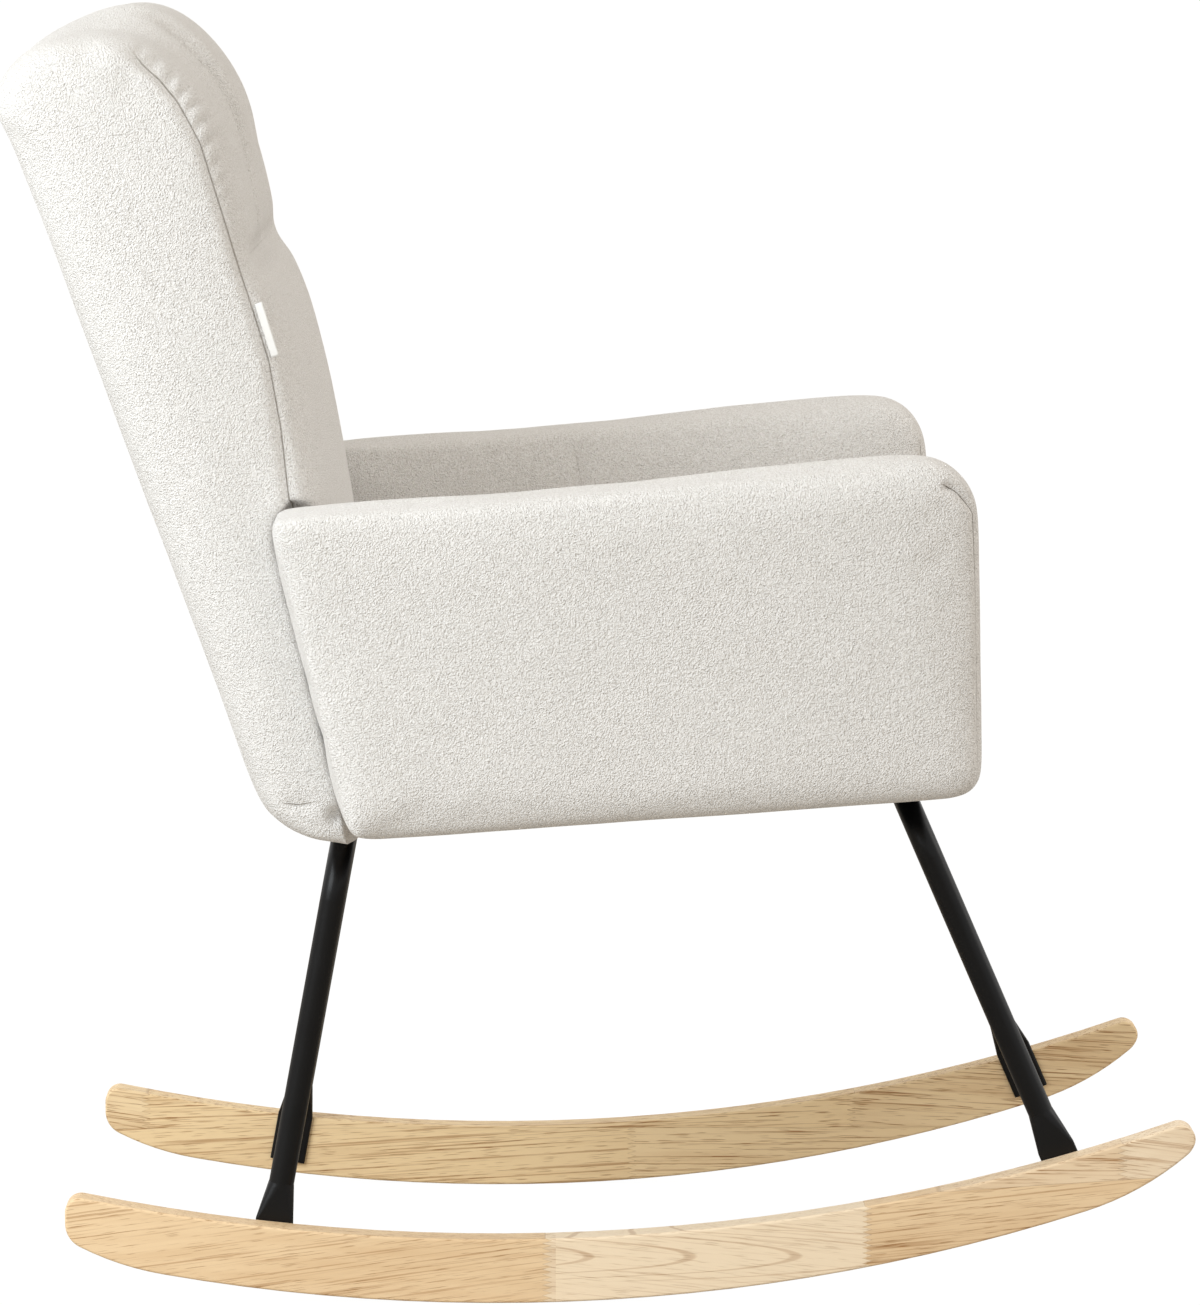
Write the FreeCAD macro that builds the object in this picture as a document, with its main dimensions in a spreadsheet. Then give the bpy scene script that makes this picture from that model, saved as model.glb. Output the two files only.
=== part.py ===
import FreeCAD, Part
import math
import os
import re
import Sketcher

# An upholstered rocking chair. X points to the chair's front, Y to the sitter's left and Z up.
# The origin is on the floor, in the middle of the chair's length and width.

DOC = FreeCAD.newDocument("rocking_chair")
SHEET = DOC.addObject("Spreadsheet::Sheet", "Sizes")
Vector = FreeCAD.Vector
NODES = {}
SIDES = ((1, "left"), (-1, "right"))

# Lengths are in millimetres and angles in degrees. Names that end in _x are places along the seat's
# bottom plane, which is tilted up towards the front about the point above the origin.
SIZES = {
    # Rockers, measured from the point that rests on the floor.
    "rocker_radius": 1440,
    "rocker_top_radius": 1560,
    "rocker_depth": 49,
    "rocker_thickness": 25,
    "rocker_front_reach": 524,
    "rocker_rear_reach": 327,
    "rocker_low_place": -76,
    "rocker_spacing": 460,
    "rocker_rear_sweep": 254,
    "rocker_front_sweep": 441,
    "rocker_sweep_radius": 220,
    "rocker_bottom_corner": 20,
    "rocker_top_corner": 11,
    "rocker_edge_radius": 2,
    # Leg tubes and their flattened feet, which are screwed to the rockers' inner faces.
    "tube_diameter": 19,
    "tube_wall": 1.5,
    "tube_bend_radius": 45,
    "rear_leg_angle": 10.4,
    "front_leg_angle": 23.4,
    "rear_tube_set": 56,
    "front_tube_set": 49,
    "foot_width": 28.5,
    "foot_thickness": 4,
    "foot_flat_rise": 24,
    "foot_taper_length": 28,
    "foot_end_margin": 8.5,
    "foot_screw_pitch": 14,
    "foot_screw_drop": 6,
    "foot_screw_hole": 6.4,
    "screw_diameter": 6,
    "screw_head_diameter": 10,
    "screw_head_height": 3,
    "insert_diameter": 9,
    "insert_length": 14,
    # Flat steel bars under the seat.
    "bar_width": 30,
    "bar_thickness": 4,
    "bar_strap_offset": 2.5,
    # Seat and its wooden frame.
    "seat_tilt": 4,
    "seat_base_height": 374,
    "seat_front_x": 279,
    "seat_width": 508,
    "seat_height": 116,
    "seat_corner_radius": 10,
    "rail_thickness": 25,
    "rail_height": 55,
    "rail_front_padding": 12,
    "dust_cover_thickness": 0.8,
    "webbing_width": 50,
    "webbing_thickness": 1.5,
    "webbing_edge_gap": 12.2,
    # Soft pieces.
    "cover_thickness": 1.5,
    "soft_gap": 0.3,
    # Arms.
    "seat_arm_gap": 3,
    "arm_thickness": 100,
    "arm_front_height": 258,
    "arm_rear_height": 250,
    "arm_front_bottom_set": 4,
    "arm_front_top_set": 16,
    "arm_rear_bottom_set": 62,
    "arm_rear_top_set": 19,
    "arm_rear_bottom_radius": 10,
    "arm_front_bottom_radius": 22,
    "arm_front_top_radius": 46,
    "arm_rear_top_radius": 14,
    "arm_edge_rounding": 26,
    "arm_board_thickness": 18,
    "arm_board_margin": 26,
    "arm_board_depth": 20,
    "arm_bolt_rear_share": 0.2,
    "arm_bolt_middle_share": 0.5,
    "arm_bolt_front_share": 0.85,
    # Back, measured along its flat rear face from the heel, where that face meets the seat's bottom plane.
    "back_heel_x": -251,
    "back_lean": 15.6,
    "back_base_depth": 80,
    "back_overhang": 31,
    "back_height": 622,
    "back_top_rear_radius": 62,
    "back_heel_radius": 45,
    "back_side_rounding": 45,
    "back_rear_crown": 8,
    "back_top_rounding": 34,
    "back_pad_proud": 27,
    "back_crown_width": 100,
    "head_front_depth": 158,
    "head_front_height": 553,
    "head_roll_depth": 163,
    "head_roll_height": 500,
    "crease_depth": 143,
    "crease_height": 408,
    "lumbar_depth": 139,
    "lumbar_height": 250,
    "tuft_spacing": 190,
    "tuft_groove_radius": 9,
    "stile_depth": 30,
    "stile_set": 28,
    "stile_top_margin": 42,
    "back_rail_width": 45,
    "middle_rail_height": 300,
    "bottom_rail_height": 70,
    "side_rail_end": 12,
    "side_rail_chamfer": 24,
    "rear_panel_thickness": 3,
    "back_strap_pitch": 95,
    "tag_length": 50,
    "tag_width": 7,
    "tag_thickness": 0.8,
    "tag_height": 333,
    # Bolts, washers and tee nuts of the wooden frame.
    "bolt_diameter": 8,
    "bolt_clearance": 0.6,
    "bolt_head_diameter": 14,
    "bolt_head_height": 5,
    "washer_diameter": 18,
    "washer_thickness": 1.6,
    "nut_diameter": 13,
    "nut_height": 6.5,
    "tee_flange_diameter": 20,
    "tee_flange_thickness": 1.5,
    "tee_barrel_diameter": 10.5,
    "tee_barrel_length": 12,
    "lap_bolt_low": 10,
    "lap_bolt_high": 38,
}

# Sizes that follow from the ones above.
DERIVED = {
    "tube_drop": "=bar_thickness + tube_diameter / 2",
    "rear_tube_x": "=back_heel_x + rear_tube_set",
    "front_tube_x": "=seat_front_x - front_tube_set",
    "rear_tube_place": "=rear_tube_x * cos(seat_tilt) + tube_drop * sin(seat_tilt)",
    "rear_tube_height": "=seat_base_height + rear_tube_x * sin(seat_tilt) - tube_drop * cos(seat_tilt)",
    "front_tube_place": "=front_tube_x * cos(seat_tilt) + tube_drop * sin(seat_tilt)",
    "front_tube_height": "=seat_base_height + front_tube_x * sin(seat_tilt) - tube_drop * cos(seat_tilt)",
    "rocker_inner_face": "=rocker_spacing / 2 - rocker_thickness / 2",
    "leg_half_spacing": "=rocker_inner_face - tube_diameter / 2",
    # The legs run down to the curve along the middle of the rockers, a circle about the bottom arc's centre.
    "rocker_mid_radius": "=rocker_radius - rocker_depth / 2",
    "rear_across": "=rear_tube_place - rocker_low_place",
    "rear_below": "=rocker_radius - rear_tube_height",
    "rear_along": "=rear_below * cos(rear_leg_angle) - rear_across * sin(rear_leg_angle)",
    "rear_inside": "=rocker_mid_radius ^ 2 - rear_across ^ 2 - rear_below ^ 2",
    "rear_leg_length": "=-rear_along + sqrt(rear_along ^ 2 + rear_inside)",
    "front_across": "=front_tube_place - rocker_low_place",
    "front_below": "=rocker_radius - front_tube_height",
    "front_along": "=front_below * cos(front_leg_angle) + front_across * sin(front_leg_angle)",
    "front_inside": "=rocker_mid_radius ^ 2 - front_across ^ 2 - front_below ^ 2",
    "front_leg_length": "=-front_along + sqrt(front_along ^ 2 + front_inside)",
    "screw_length": "=foot_thickness + insert_length - 2",
    "seat_rear_x": "=back_heel_x + back_base_depth",
    "skin_depth": "=cover_thickness + soft_gap",
    "rail_outer": "=seat_width / 2 - skin_depth",
    "rail_inner": "=rail_outer - rail_thickness",
    "rail_top": "=dust_cover_thickness + rail_height",
    "front_rail_x": "=seat_front_x - rail_front_padding - rail_thickness",
    "rear_rail_x": "=seat_rear_x + skin_depth",
    "side_rail_rear_x": "=back_heel_x + side_rail_end",
    "front_bolt_x": "=front_rail_x + rail_thickness / 2",
    "rear_bolt_x": "=rear_rail_x + rail_thickness / 2",
    "seat_foam_bottom": "=rail_top + 2 * webbing_thickness + soft_gap",
    "webbing_pitch": "=(2 * rail_inner - webbing_width - 2 * webbing_edge_gap) / 4",
    # The steel bars' bolts come up between the seat's straps.
    "bar_spacing": "=3 * webbing_pitch - 2 * bar_strap_offset",
    "back_width": "=seat_width + 2 * back_overhang",
    "arm_inner_face": "=seat_width / 2 + seat_arm_gap",
    "arm_middle": "=arm_inner_face + arm_thickness / 2",
    "arm_board_face": "=arm_inner_face + arm_board_depth",
    "arm_bolt_height": "=dust_cover_thickness + rail_height / 2",
    "arm_front_bottom_x": "=seat_front_x + arm_front_bottom_set",
    "arm_front_top_x": "=seat_front_x + arm_front_top_set",
    "arm_rear_bottom_x": "=back_heel_x + arm_rear_bottom_set",
    "arm_rear_top_x": "=back_heel_x + arm_rear_top_set",
    "stile_inner": "=rail_inner - rail_thickness",
    "stile_length": "=back_height - stile_top_margin",
    "stile_front": "=stile_set + stile_depth",
    "back_angle": "=seat_tilt + back_lean",
}


def fill_sheet():
    rows = list(SIZES.items()) + list(DERIVED.items())
    for row, (alias, content) in enumerate(rows, start=1):
        SHEET.set(f"A{row}", alias)
        SHEET.set(f"B{row}", str(content))
        SHEET.setAlias(f"B{row}", alias)
    DOC.recompute()


def size(alias):
    return float(SHEET.get(alias))


def value(text):
    """The number that a formula of sheet names gives."""
    return float(SHEET.evalExpression(text))


def bind(item, field, text):
    """Ties a field to the sheet. Every sheet name has an underscore, so it is told from a function's name."""
    item.setExpression(field, re.sub(r"\b[a-z]+(?:_[a-z]+)+\b", lambda found: "Sizes." + found.group(), text))


def node(label, item):
    item.Label = label
    NODES[label] = item
    return item


def seat_point(x, y, z):
    """A place in the seat's tilted frame, as X, Y and Z of the whole chair."""
    across = f"({x}) * cos(seat_tilt) - ({z}) * sin(seat_tilt)"
    up = f"seat_base_height + ({x}) * sin(seat_tilt) + ({z}) * cos(seat_tilt)"
    return across, y, up


def back_point(depth, y, height):
    """A place in the back's frame: forwards from its rear face, sideways, and up along that face."""
    x = f"back_heel_x + ({depth}) * cos(back_lean) - ({height}) * sin(back_lean)"
    z = f"({depth}) * sin(back_lean) + ({height}) * cos(back_lean)"
    return seat_point(x, y, z)


def foot_point(leg, y, along):
    """A place on a leg's axis, measured down from the middle of the tube's top run."""
    way = "-" if leg == "rear" else "+"
    x = f"{leg}_tube_place {way} ({along}) * sin({leg}_leg_angle)"
    z = f"{leg}_tube_height - ({along}) * cos({leg}_leg_angle)"
    return x, y, z


def place(item, point, axis=None, angle=None):
    if axis is not None:
        item.Placement = FreeCAD.Placement(Vector(), FreeCAD.Rotation(axis, 10))
        bind(item, "Placement.Rotation.Angle", angle)
    for letter, text in zip("xyz", point):
        bind(item, f"Placement.Base.{letter}", text)
    return item


def lean(item, point, angle):
    """Places a piece leaning back, or tilted up at its front, by an angle."""
    return place(item, point, Vector(0, -1, 0), angle)


def box(name, length, width, height):
    item = DOC.addObject("Part::Box", name)
    for field, text in (("Length", length), ("Width", width), ("Height", height)):
        bind(item, field, text)
    return item


def rod(name, diameter, length):
    item = DOC.addObject("Part::Cylinder", name)
    bind(item, "Radius", f"({diameter}) / 2")
    bind(item, "Height", length)
    return item


def rod_across(name, diameter, length, point, side):
    """A cylinder that runs outwards along Y from a point, on one side of the chair."""
    x, y, z = point
    start = f"({y})" if side > 0 else f"-({y}) - ({length})"
    return place(rod(name, diameter, length), (x, start, z), Vector(-1, 0, 0), "90")


def rod_up(name, diameter, length, point):
    """A cylinder that stands square on the seat's bottom plane."""
    return lean(rod(name, diameter, length), point, "seat_tilt")


def joined(name, items):
    item = DOC.addObject("Part::MultiFuse", name)
    item.Shapes = items
    return item


def group(name, items):
    item = DOC.addObject("Part::Compound", name)
    item.Links = items
    return item


def drilled(name, blank, tools):
    item = DOC.addObject("Part::Cut", name)
    item.Base = blank
    item.Tool = group(name + "_holes", tools)
    return item


def origin_plane(body, role):
    return next(feature for feature in body.Origin.OriginFeatures if feature.Role == role)


def sketch_on(body, name, role):
    sketch = body.newObject("Sketcher::SketchObject", name)
    sketch.AttachmentSupport = (origin_plane(body, role), [""])
    sketch.MapMode = "FlatFace"
    return sketch


def dimension(sketch, text, *constraint):
    index = sketch.addConstraint(Sketcher.Constraint(*constraint))
    bind(sketch, f"Constraints[{index}]", text)


def polygon(sketch, corners):
    """Draws a closed outline through corners whose two coordinates are given as sheet formulas."""
    count = len(corners)
    for number in range(count):
        turn = 2 * math.pi * number / count
        after = 2 * math.pi * (number + 1) / count
        begin = Vector(100 * math.cos(turn), 100 * math.sin(turn), 0)
        end = Vector(100 * math.cos(after), 100 * math.sin(after), 0)
        sketch.addGeometry(Part.LineSegment(begin, end))
    for number in range(count):
        sketch.addConstraint(Sketcher.Constraint("Coincident", number, 2, (number + 1) % count, 1))
    for number, (across, up) in enumerate(corners):
        dimension(sketch, across, "DistanceX", -1, 1, number, 1, 1.0)
        dimension(sketch, up, "DistanceY", -1, 1, number, 1, 1.0)


def board(name, corners, thickness):
    """A flat board with its outline in the X and Z plane, half its thickness to each side."""
    body = DOC.addObject("PartDesign::Body", name)
    outline = sketch_on(body, name + "_outline", "XZ_Plane")
    polygon(outline, corners)
    pad = body.newObject("PartDesign::Pad", name + "_pad")
    pad.Profile = outline
    pad.SideType = "Symmetric"
    bind(pad, "Length", thickness)
    body.Tip = pad
    return body


def rocker_blank(name):
    """A runner sawn from glued wood. Its bottom arc sweeps up in a smaller one towards each round end."""
    body = DOC.addObject("PartDesign::Body", name)
    outline = sketch_on(body, name + "_outline", "XZ_Plane")
    front, rear = size("rocker_front_reach"), size("rocker_rear_reach")
    low, high = size("rocker_radius"), size("rocker_top_radius")
    depth, sweep = size("rocker_depth"), size("rocker_sweep_radius")
    front_sweep, rear_sweep = size("rocker_front_sweep"), size("rocker_rear_sweep")

    def arc_about(middle_x, middle_z, radius, start_x, end_x):
        begin = -math.pi / 2 + math.asin((start_x - middle_x) / radius)
        end = -math.pi / 2 + math.asin((end_x - middle_x) / radius)
        circle = Part.Circle(Vector(middle_x, middle_z, 0), Vector(0, 0, 1), radius)
        return outline.addGeometry(Part.ArcOfCircle(circle, begin, end))

    def swept_arc(join_x, start_x, end_x):
        share = 1 - sweep / low
        middle_z = low - math.sqrt(low**2 - join_x**2) * share
        return arc_about(join_x * share, middle_z, sweep, start_x, end_x)

    bottom = arc_about(0, low, low, -rear_sweep, front_sweep)
    top = arc_about(0, high + depth, high, -rear, front)
    rear_arc = swept_arc(-rear_sweep, -rear, -rear_sweep)
    front_arc = swept_arc(front_sweep, front_sweep, front)
    ends = []
    for arc, end in ((rear_arc, 1), (front_arc, 2)):
        swept, upper = outline.Geometry[arc], outline.Geometry[top]
        start, stop = (swept.StartPoint, upper.StartPoint) if end == 1 else (swept.EndPoint, upper.EndPoint)
        line = outline.addGeometry(Part.LineSegment(start, stop))
        outline.addConstraint(Sketcher.Constraint("Coincident", line, 1, arc, end))
        outline.addConstraint(Sketcher.Constraint("Coincident", line, 2, top, end))
        outline.addConstraint(Sketcher.Constraint("Vertical", line))
        dimension(outline, "rocker_sweep_radius", "Radius", arc, sweep)
        ends.append(line)
    outline.addConstraint(Sketcher.Constraint("Tangent", rear_arc, 2, bottom, 1))
    outline.addConstraint(Sketcher.Constraint("Tangent", bottom, 2, front_arc, 1))
    for arc in (bottom, top):
        outline.addConstraint(Sketcher.Constraint("PointOnObject", arc, 3, -2))
    dimension(outline, "rocker_radius", "Radius", bottom, low)
    dimension(outline, "rocker_top_radius", "Radius", top, high)
    dimension(outline, "rocker_radius", "DistanceY", -1, 1, bottom, 3, low)
    dimension(outline, "rocker_top_radius + rocker_depth", "DistanceY", -1, 1, top, 3, high + depth)
    dimension(outline, "-rocker_rear_sweep", "DistanceX", -1, 1, bottom, 1, -rear_sweep)
    dimension(outline, "rocker_front_sweep", "DistanceX", -1, 1, bottom, 2, front_sweep)
    dimension(outline, "-rocker_rear_reach", "DistanceX", -1, 1, ends[0], 1, -rear)
    dimension(outline, "rocker_front_reach", "DistanceX", -1, 1, ends[1], 1, front)

    pad = body.newObject("PartDesign::Pad", name + "_pad")
    pad.Profile = outline
    pad.SideType = "Symmetric"
    bind(pad, "Length", "rocker_thickness")
    body.Tip = pad
    DOC.recompute()

    blunt = pad
    for word, pick in (("bottom", min), ("top", max)):
        corners = body.newObject("PartDesign::Fillet", name + "_" + word + "_corners")
        corners.Base = (blunt, end_corners(blunt.Shape, pick))
        bind(corners, "Radius", "rocker_" + word + "_corner")
        body.Tip = blunt = corners
        DOC.recompute()

    eased = body.newObject("PartDesign::Fillet", name + "_edges")
    eased.Base = (blunt, edges_where(blunt.Shape, lambda edge: not edge_runs_across(edge)))
    bind(eased, "Radius", "rocker_edge_radius")
    body.Tip = eased
    return body


def edge_runs_across(edge):
    begin, end = edge.Vertexes[0].Point, edge.Vertexes[-1].Point
    return abs((end - begin).normalize().y) > 0.99


def edges_where(shape, wanted):
    return [f"Edge{number}" for number, edge in enumerate(shape.Edges, start=1) if wanted(edge)]


def end_corners(shape, pick):
    """The edges across a runner's two ends, the lowest of each end or the highest."""
    across = [edge for edge in shape.Edges if edge_runs_across(edge)]
    chosen = []
    for reach in (min, max):
        end_x = reach(edge.Vertexes[0].Point.x for edge in across)
        at_end = [edge for edge in across if abs(edge.Vertexes[0].Point.x - end_x) < 0.01]
        chosen.append(pick(at_end, key=lambda edge: edge.Vertexes[0].Point.z))
    return edges_where(shape, lambda edge: any(edge.isSame(corner) for corner in chosen))


def foot_screws(leg):
    """Places of a foot's two screws along the leg, the lower one a little below the rocker's middle."""
    low = f"{leg}_leg_length + foot_screw_drop"
    return low, f"{low} - foot_screw_pitch"


def slot_sketch(body, name, half_length, radius, shift, drop):
    """A slot across the tube, with its middle moved sideways by shift and down the leg by drop."""
    sketch = sketch_on(body, name, "XY_Plane")
    bind(sketch, "AttachmentOffset.Base.y", shift)
    bind(sketch, "AttachmentOffset.Base.z", f"-({drop})")
    for x, begin in ((5, -math.pi / 2), (-5, math.pi / 2)):
        circle = Part.Circle(Vector(x, 0, 0), Vector(0, 0, 1), 3)
        sketch.addGeometry(Part.ArcOfCircle(circle, begin, begin + math.pi))
    sketch.addGeometry(Part.LineSegment(Vector(5, 3, 0), Vector(-5, 3, 0)))
    sketch.addGeometry(Part.LineSegment(Vector(-5, -3, 0), Vector(5, -3, 0)))
    for first, end, second, start in ((0, 2, 2, 1), (2, 2, 1, 1), (1, 2, 3, 1), (3, 2, 0, 1)):
        sketch.addConstraint(Sketcher.Constraint("Tangent", first, end, second, start))
    sketch.addConstraint(Sketcher.Constraint("PointOnObject", 0, 3, -1))
    sketch.addConstraint(Sketcher.Constraint("Symmetric", 0, 3, 1, 3, -1, 1))
    sketch.addConstraint(Sketcher.Constraint("Equal", 0, 1))
    dimension(sketch, radius, "Radius", 0, 3.0)
    dimension(sketch, half_length, "DistanceX", -1, 1, 0, 3, 5.0)
    return sketch


def leg_path(body, name, length):
    """The tube's centre line, an upside-down U in the plane of the two legs."""
    path = sketch_on(body, name, "YZ_Plane")
    half, bend, down = size("leg_half_spacing"), size("tube_bend_radius"), 200
    path.addGeometry(Part.LineSegment(Vector(-half, -down, 0), Vector(-half, -bend, 0)))
    left = Part.Circle(Vector(bend - half, -bend, 0), Vector(0, 0, 1), bend)
    path.addGeometry(Part.ArcOfCircle(left, math.pi / 2, math.pi))
    path.addGeometry(Part.LineSegment(Vector(bend - half, 0, 0), Vector(half - bend, 0, 0)))
    right = Part.Circle(Vector(half - bend, -bend, 0), Vector(0, 0, 1), bend)
    path.addGeometry(Part.ArcOfCircle(right, 0, math.pi / 2))
    path.addGeometry(Part.LineSegment(Vector(half, -bend, 0), Vector(half, -down, 0)))
    for first, end, second, start in ((0, 2, 1, 2), (1, 1, 2, 1), (2, 2, 3, 2), (3, 1, 4, 1)):
        path.addConstraint(Sketcher.Constraint("Tangent", first, end, second, start))
    for line in (0, 4):
        path.addConstraint(Sketcher.Constraint("Vertical", line))
    path.addConstraint(Sketcher.Constraint("PointOnObject", 2, 1, -1))
    path.addConstraint(Sketcher.Constraint("Symmetric", 2, 1, 2, 2, -1, 1))
    dimension(path, "tube_bend_radius", "Radius", 1, bend)
    dimension(path, "tube_bend_radius", "Radius", 3, bend)
    dimension(path, "leg_half_spacing", "DistanceX", -1, 1, 4, 2, half)
    dimension(path, f"-({length})", "DistanceY", -1, 1, 0, 1, -down)
    dimension(path, f"-({length})", "DistanceY", -1, 1, 4, 2, -down)
    return path


def leg_tube(leg):
    """One bent tube: two legs and the run between them, with both feet pressed flat and drilled."""
    name = leg + "_leg_tube"
    body = DOC.addObject("PartDesign::Body", name)
    straight = f"{leg}_leg_length - foot_flat_rise - foot_taper_length"
    flat_start = f"{leg}_leg_length - foot_flat_rise"
    path = leg_path(body, name + "_path", straight)

    ring = sketch_on(body, name + "_ring", "XY_Plane")
    bind(ring, "AttachmentOffset.Base.y", "-leg_half_spacing")
    bind(ring, "AttachmentOffset.Base.z", f"-({straight})")
    for text in ("tube_diameter / 2", "tube_diameter / 2 - tube_wall"):
        circle = ring.addGeometry(Part.Circle(Vector(0, 0, 0), Vector(0, 0, 1), 8))
        ring.addConstraint(Sketcher.Constraint("Coincident", circle, 3, -1, 1))
        dimension(ring, text, "Radius", circle, 8.0)
    pipe = body.newObject("PartDesign::AdditivePipe", name + "_bent")
    pipe.Profile = ring
    pipe.Spine = (path, [f"Edge{number}" for number in range(1, 6)])
    body.Tip = pipe
    DOC.recompute()

    thin = "foot_thickness / 2"
    flat_shift = f"leg_half_spacing + tube_diameter / 2 - {thin}"
    above = slot_sketch(body, name + "_above", "tube_wall / 10", "tube_diameter / 2",
                        "leg_half_spacing", straight)
    flat = slot_sketch(body, name + "_flat", f"foot_width / 2 - {thin}", thin, flat_shift, flat_start)
    taper = body.newObject("PartDesign::AdditiveLoft", name + "_taper")
    taper.Profile = above
    taper.Sections = [flat]
    blade_outline = slot_sketch(body, name + "_blade_outline", f"foot_width / 2 - {thin}", thin,
                                flat_shift, flat_start)
    blade = body.newObject("PartDesign::Pad", name + "_blade")
    blade.Profile = blade_outline
    blade.Reversed = True
    bind(blade, "Length", "foot_flat_rise + foot_screw_drop + foot_end_margin")

    screws = sketch_on(body, name + "_screws", "XZ_Plane")
    bind(screws, "AttachmentOffset.Base.z", f"-({flat_shift})")
    for along in foot_screws(leg):
        hole = screws.addGeometry(Part.Circle(Vector(0, -200, 0), Vector(0, 0, 1), 3))
        screws.addConstraint(Sketcher.Constraint("PointOnObject", hole, 3, -2))
        dimension(screws, f"-({along})", "DistanceY", -1, 1, hole, 3, -200.0)
        dimension(screws, "foot_screw_hole", "Diameter", hole, 6.0)
    holes = body.newObject("PartDesign::Pocket", name + "_holes")
    holes.Profile = screws
    holes.SideType = "Symmetric"
    bind(holes, "Length", "4 * foot_thickness")
    body.Tip = holes
    DOC.recompute()

    other = body.newObject("PartDesign::Mirrored", name + "_other_foot")
    other.Originals = [taper, blade, holes]
    other.MirrorPlane = (origin_plane(body, "XZ_Plane"), [""])
    body.Tip = other
    way = Vector(0, 1, 0) if leg == "rear" else Vector(0, -1, 0)
    place(body, (f"{leg}_tube_place", "0", f"{leg}_tube_height"), way, f"{leg}_leg_angle")
    return node(name, body)


def make_base():
    feet = [(leg, along) for leg in ("rear", "front") for along in foot_screws(leg)]
    screws, inserts = [], []
    for side, word in SIDES:
        blank = rocker_blank(word + "_rocker_blank")
        place(blank, ("rocker_low_place", f"{side} * rocker_spacing / 2", "0"))
        holes = []
        for number, (leg, along) in enumerate(feet):
            name = f"{word}_foot_{number}"
            wall = "rocker_inner_face"
            holes.append(rod_across(name + "_hole", "insert_diameter", "insert_length",
                                    foot_point(leg, wall, along), side))
            sleeve = rod_across(name + "_sleeve", "insert_diameter", "insert_length",
                                foot_point(leg, wall, along), side)
            thread = rod_across(name + "_thread", "screw_diameter", "insert_length",
                                foot_point(leg, wall, along), side)
            inserts.append(drilled(name + "_insert", sleeve, [thread]))
            shank = rod_across(name + "_shank", "screw_diameter", "screw_length",
                               foot_point(leg, f"{wall} - foot_thickness", along), side)
            head = rod_across(name + "_head", "screw_head_diameter", "screw_head_height",
                              foot_point(leg, f"{wall} - foot_thickness - screw_head_height", along), side)
            screws.append(joined(name + "_screw", [shank, head]))
        node(word + "_rocker", drilled(word + "_rocker", blank, holes))
    leg_tube("rear")
    leg_tube("front")
    node("rocker_screws", group("rocker_screws", screws))
    node("rocker_inserts", group("rocker_inserts", inserts))


def bolt_through_bar(name, x, y):
    """Bolt, washer and tee nut that hold a steel bar to a seat rail, square to the seat's bottom."""
    under = "-bar_thickness - washer_thickness"
    shank_length = "bar_thickness + washer_thickness + rail_top + tee_flange_thickness"
    shank = rod_up(name + "_shank", "bolt_diameter", shank_length, seat_point(x, y, under))
    head = rod_up(name + "_head", "bolt_head_diameter", "bolt_head_height",
                  seat_point(x, y, f"{under} - bolt_head_height"))
    bore = "bolt_diameter + bolt_clearance"
    washer = rod_up(name + "_disc", "washer_diameter", "washer_thickness", seat_point(x, y, under))
    washer_hole = rod_up(name + "_disc_hole", bore, "washer_thickness", seat_point(x, y, under))
    flange = rod_up(name + "_flange", "tee_flange_diameter", "tee_flange_thickness",
                    seat_point(x, y, "rail_top"))
    barrel = rod_up(name + "_barrel", "tee_barrel_diameter", "tee_barrel_length",
                    seat_point(x, y, "rail_top - tee_barrel_length"))
    nut_hole = rod_up(name + "_nut_hole", "bolt_diameter",
                      "tee_barrel_length + tee_flange_thickness",
                      seat_point(x, y, "rail_top - tee_barrel_length"))
    bolt = joined(name + "_bolt", [shank, head])
    ring = drilled(name + "_washer", washer, [washer_hole])
    nut = drilled(name + "_tee_nut", joined(name + "_tee", [flange, barrel]), [nut_hole])
    return bolt, ring, nut


def bolt_hole(name, x, y):
    return rod_up(name, "bolt_diameter + bolt_clearance", "rail_top + 2 * bar_thickness",
                  seat_point(x, y, "-2 * bar_thickness"))


def barrel_hole(name, x, y):
    return rod_up(name, "tee_barrel_diameter", "tee_barrel_length",
                  seat_point(x, y, "rail_top - tee_barrel_length"))


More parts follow.
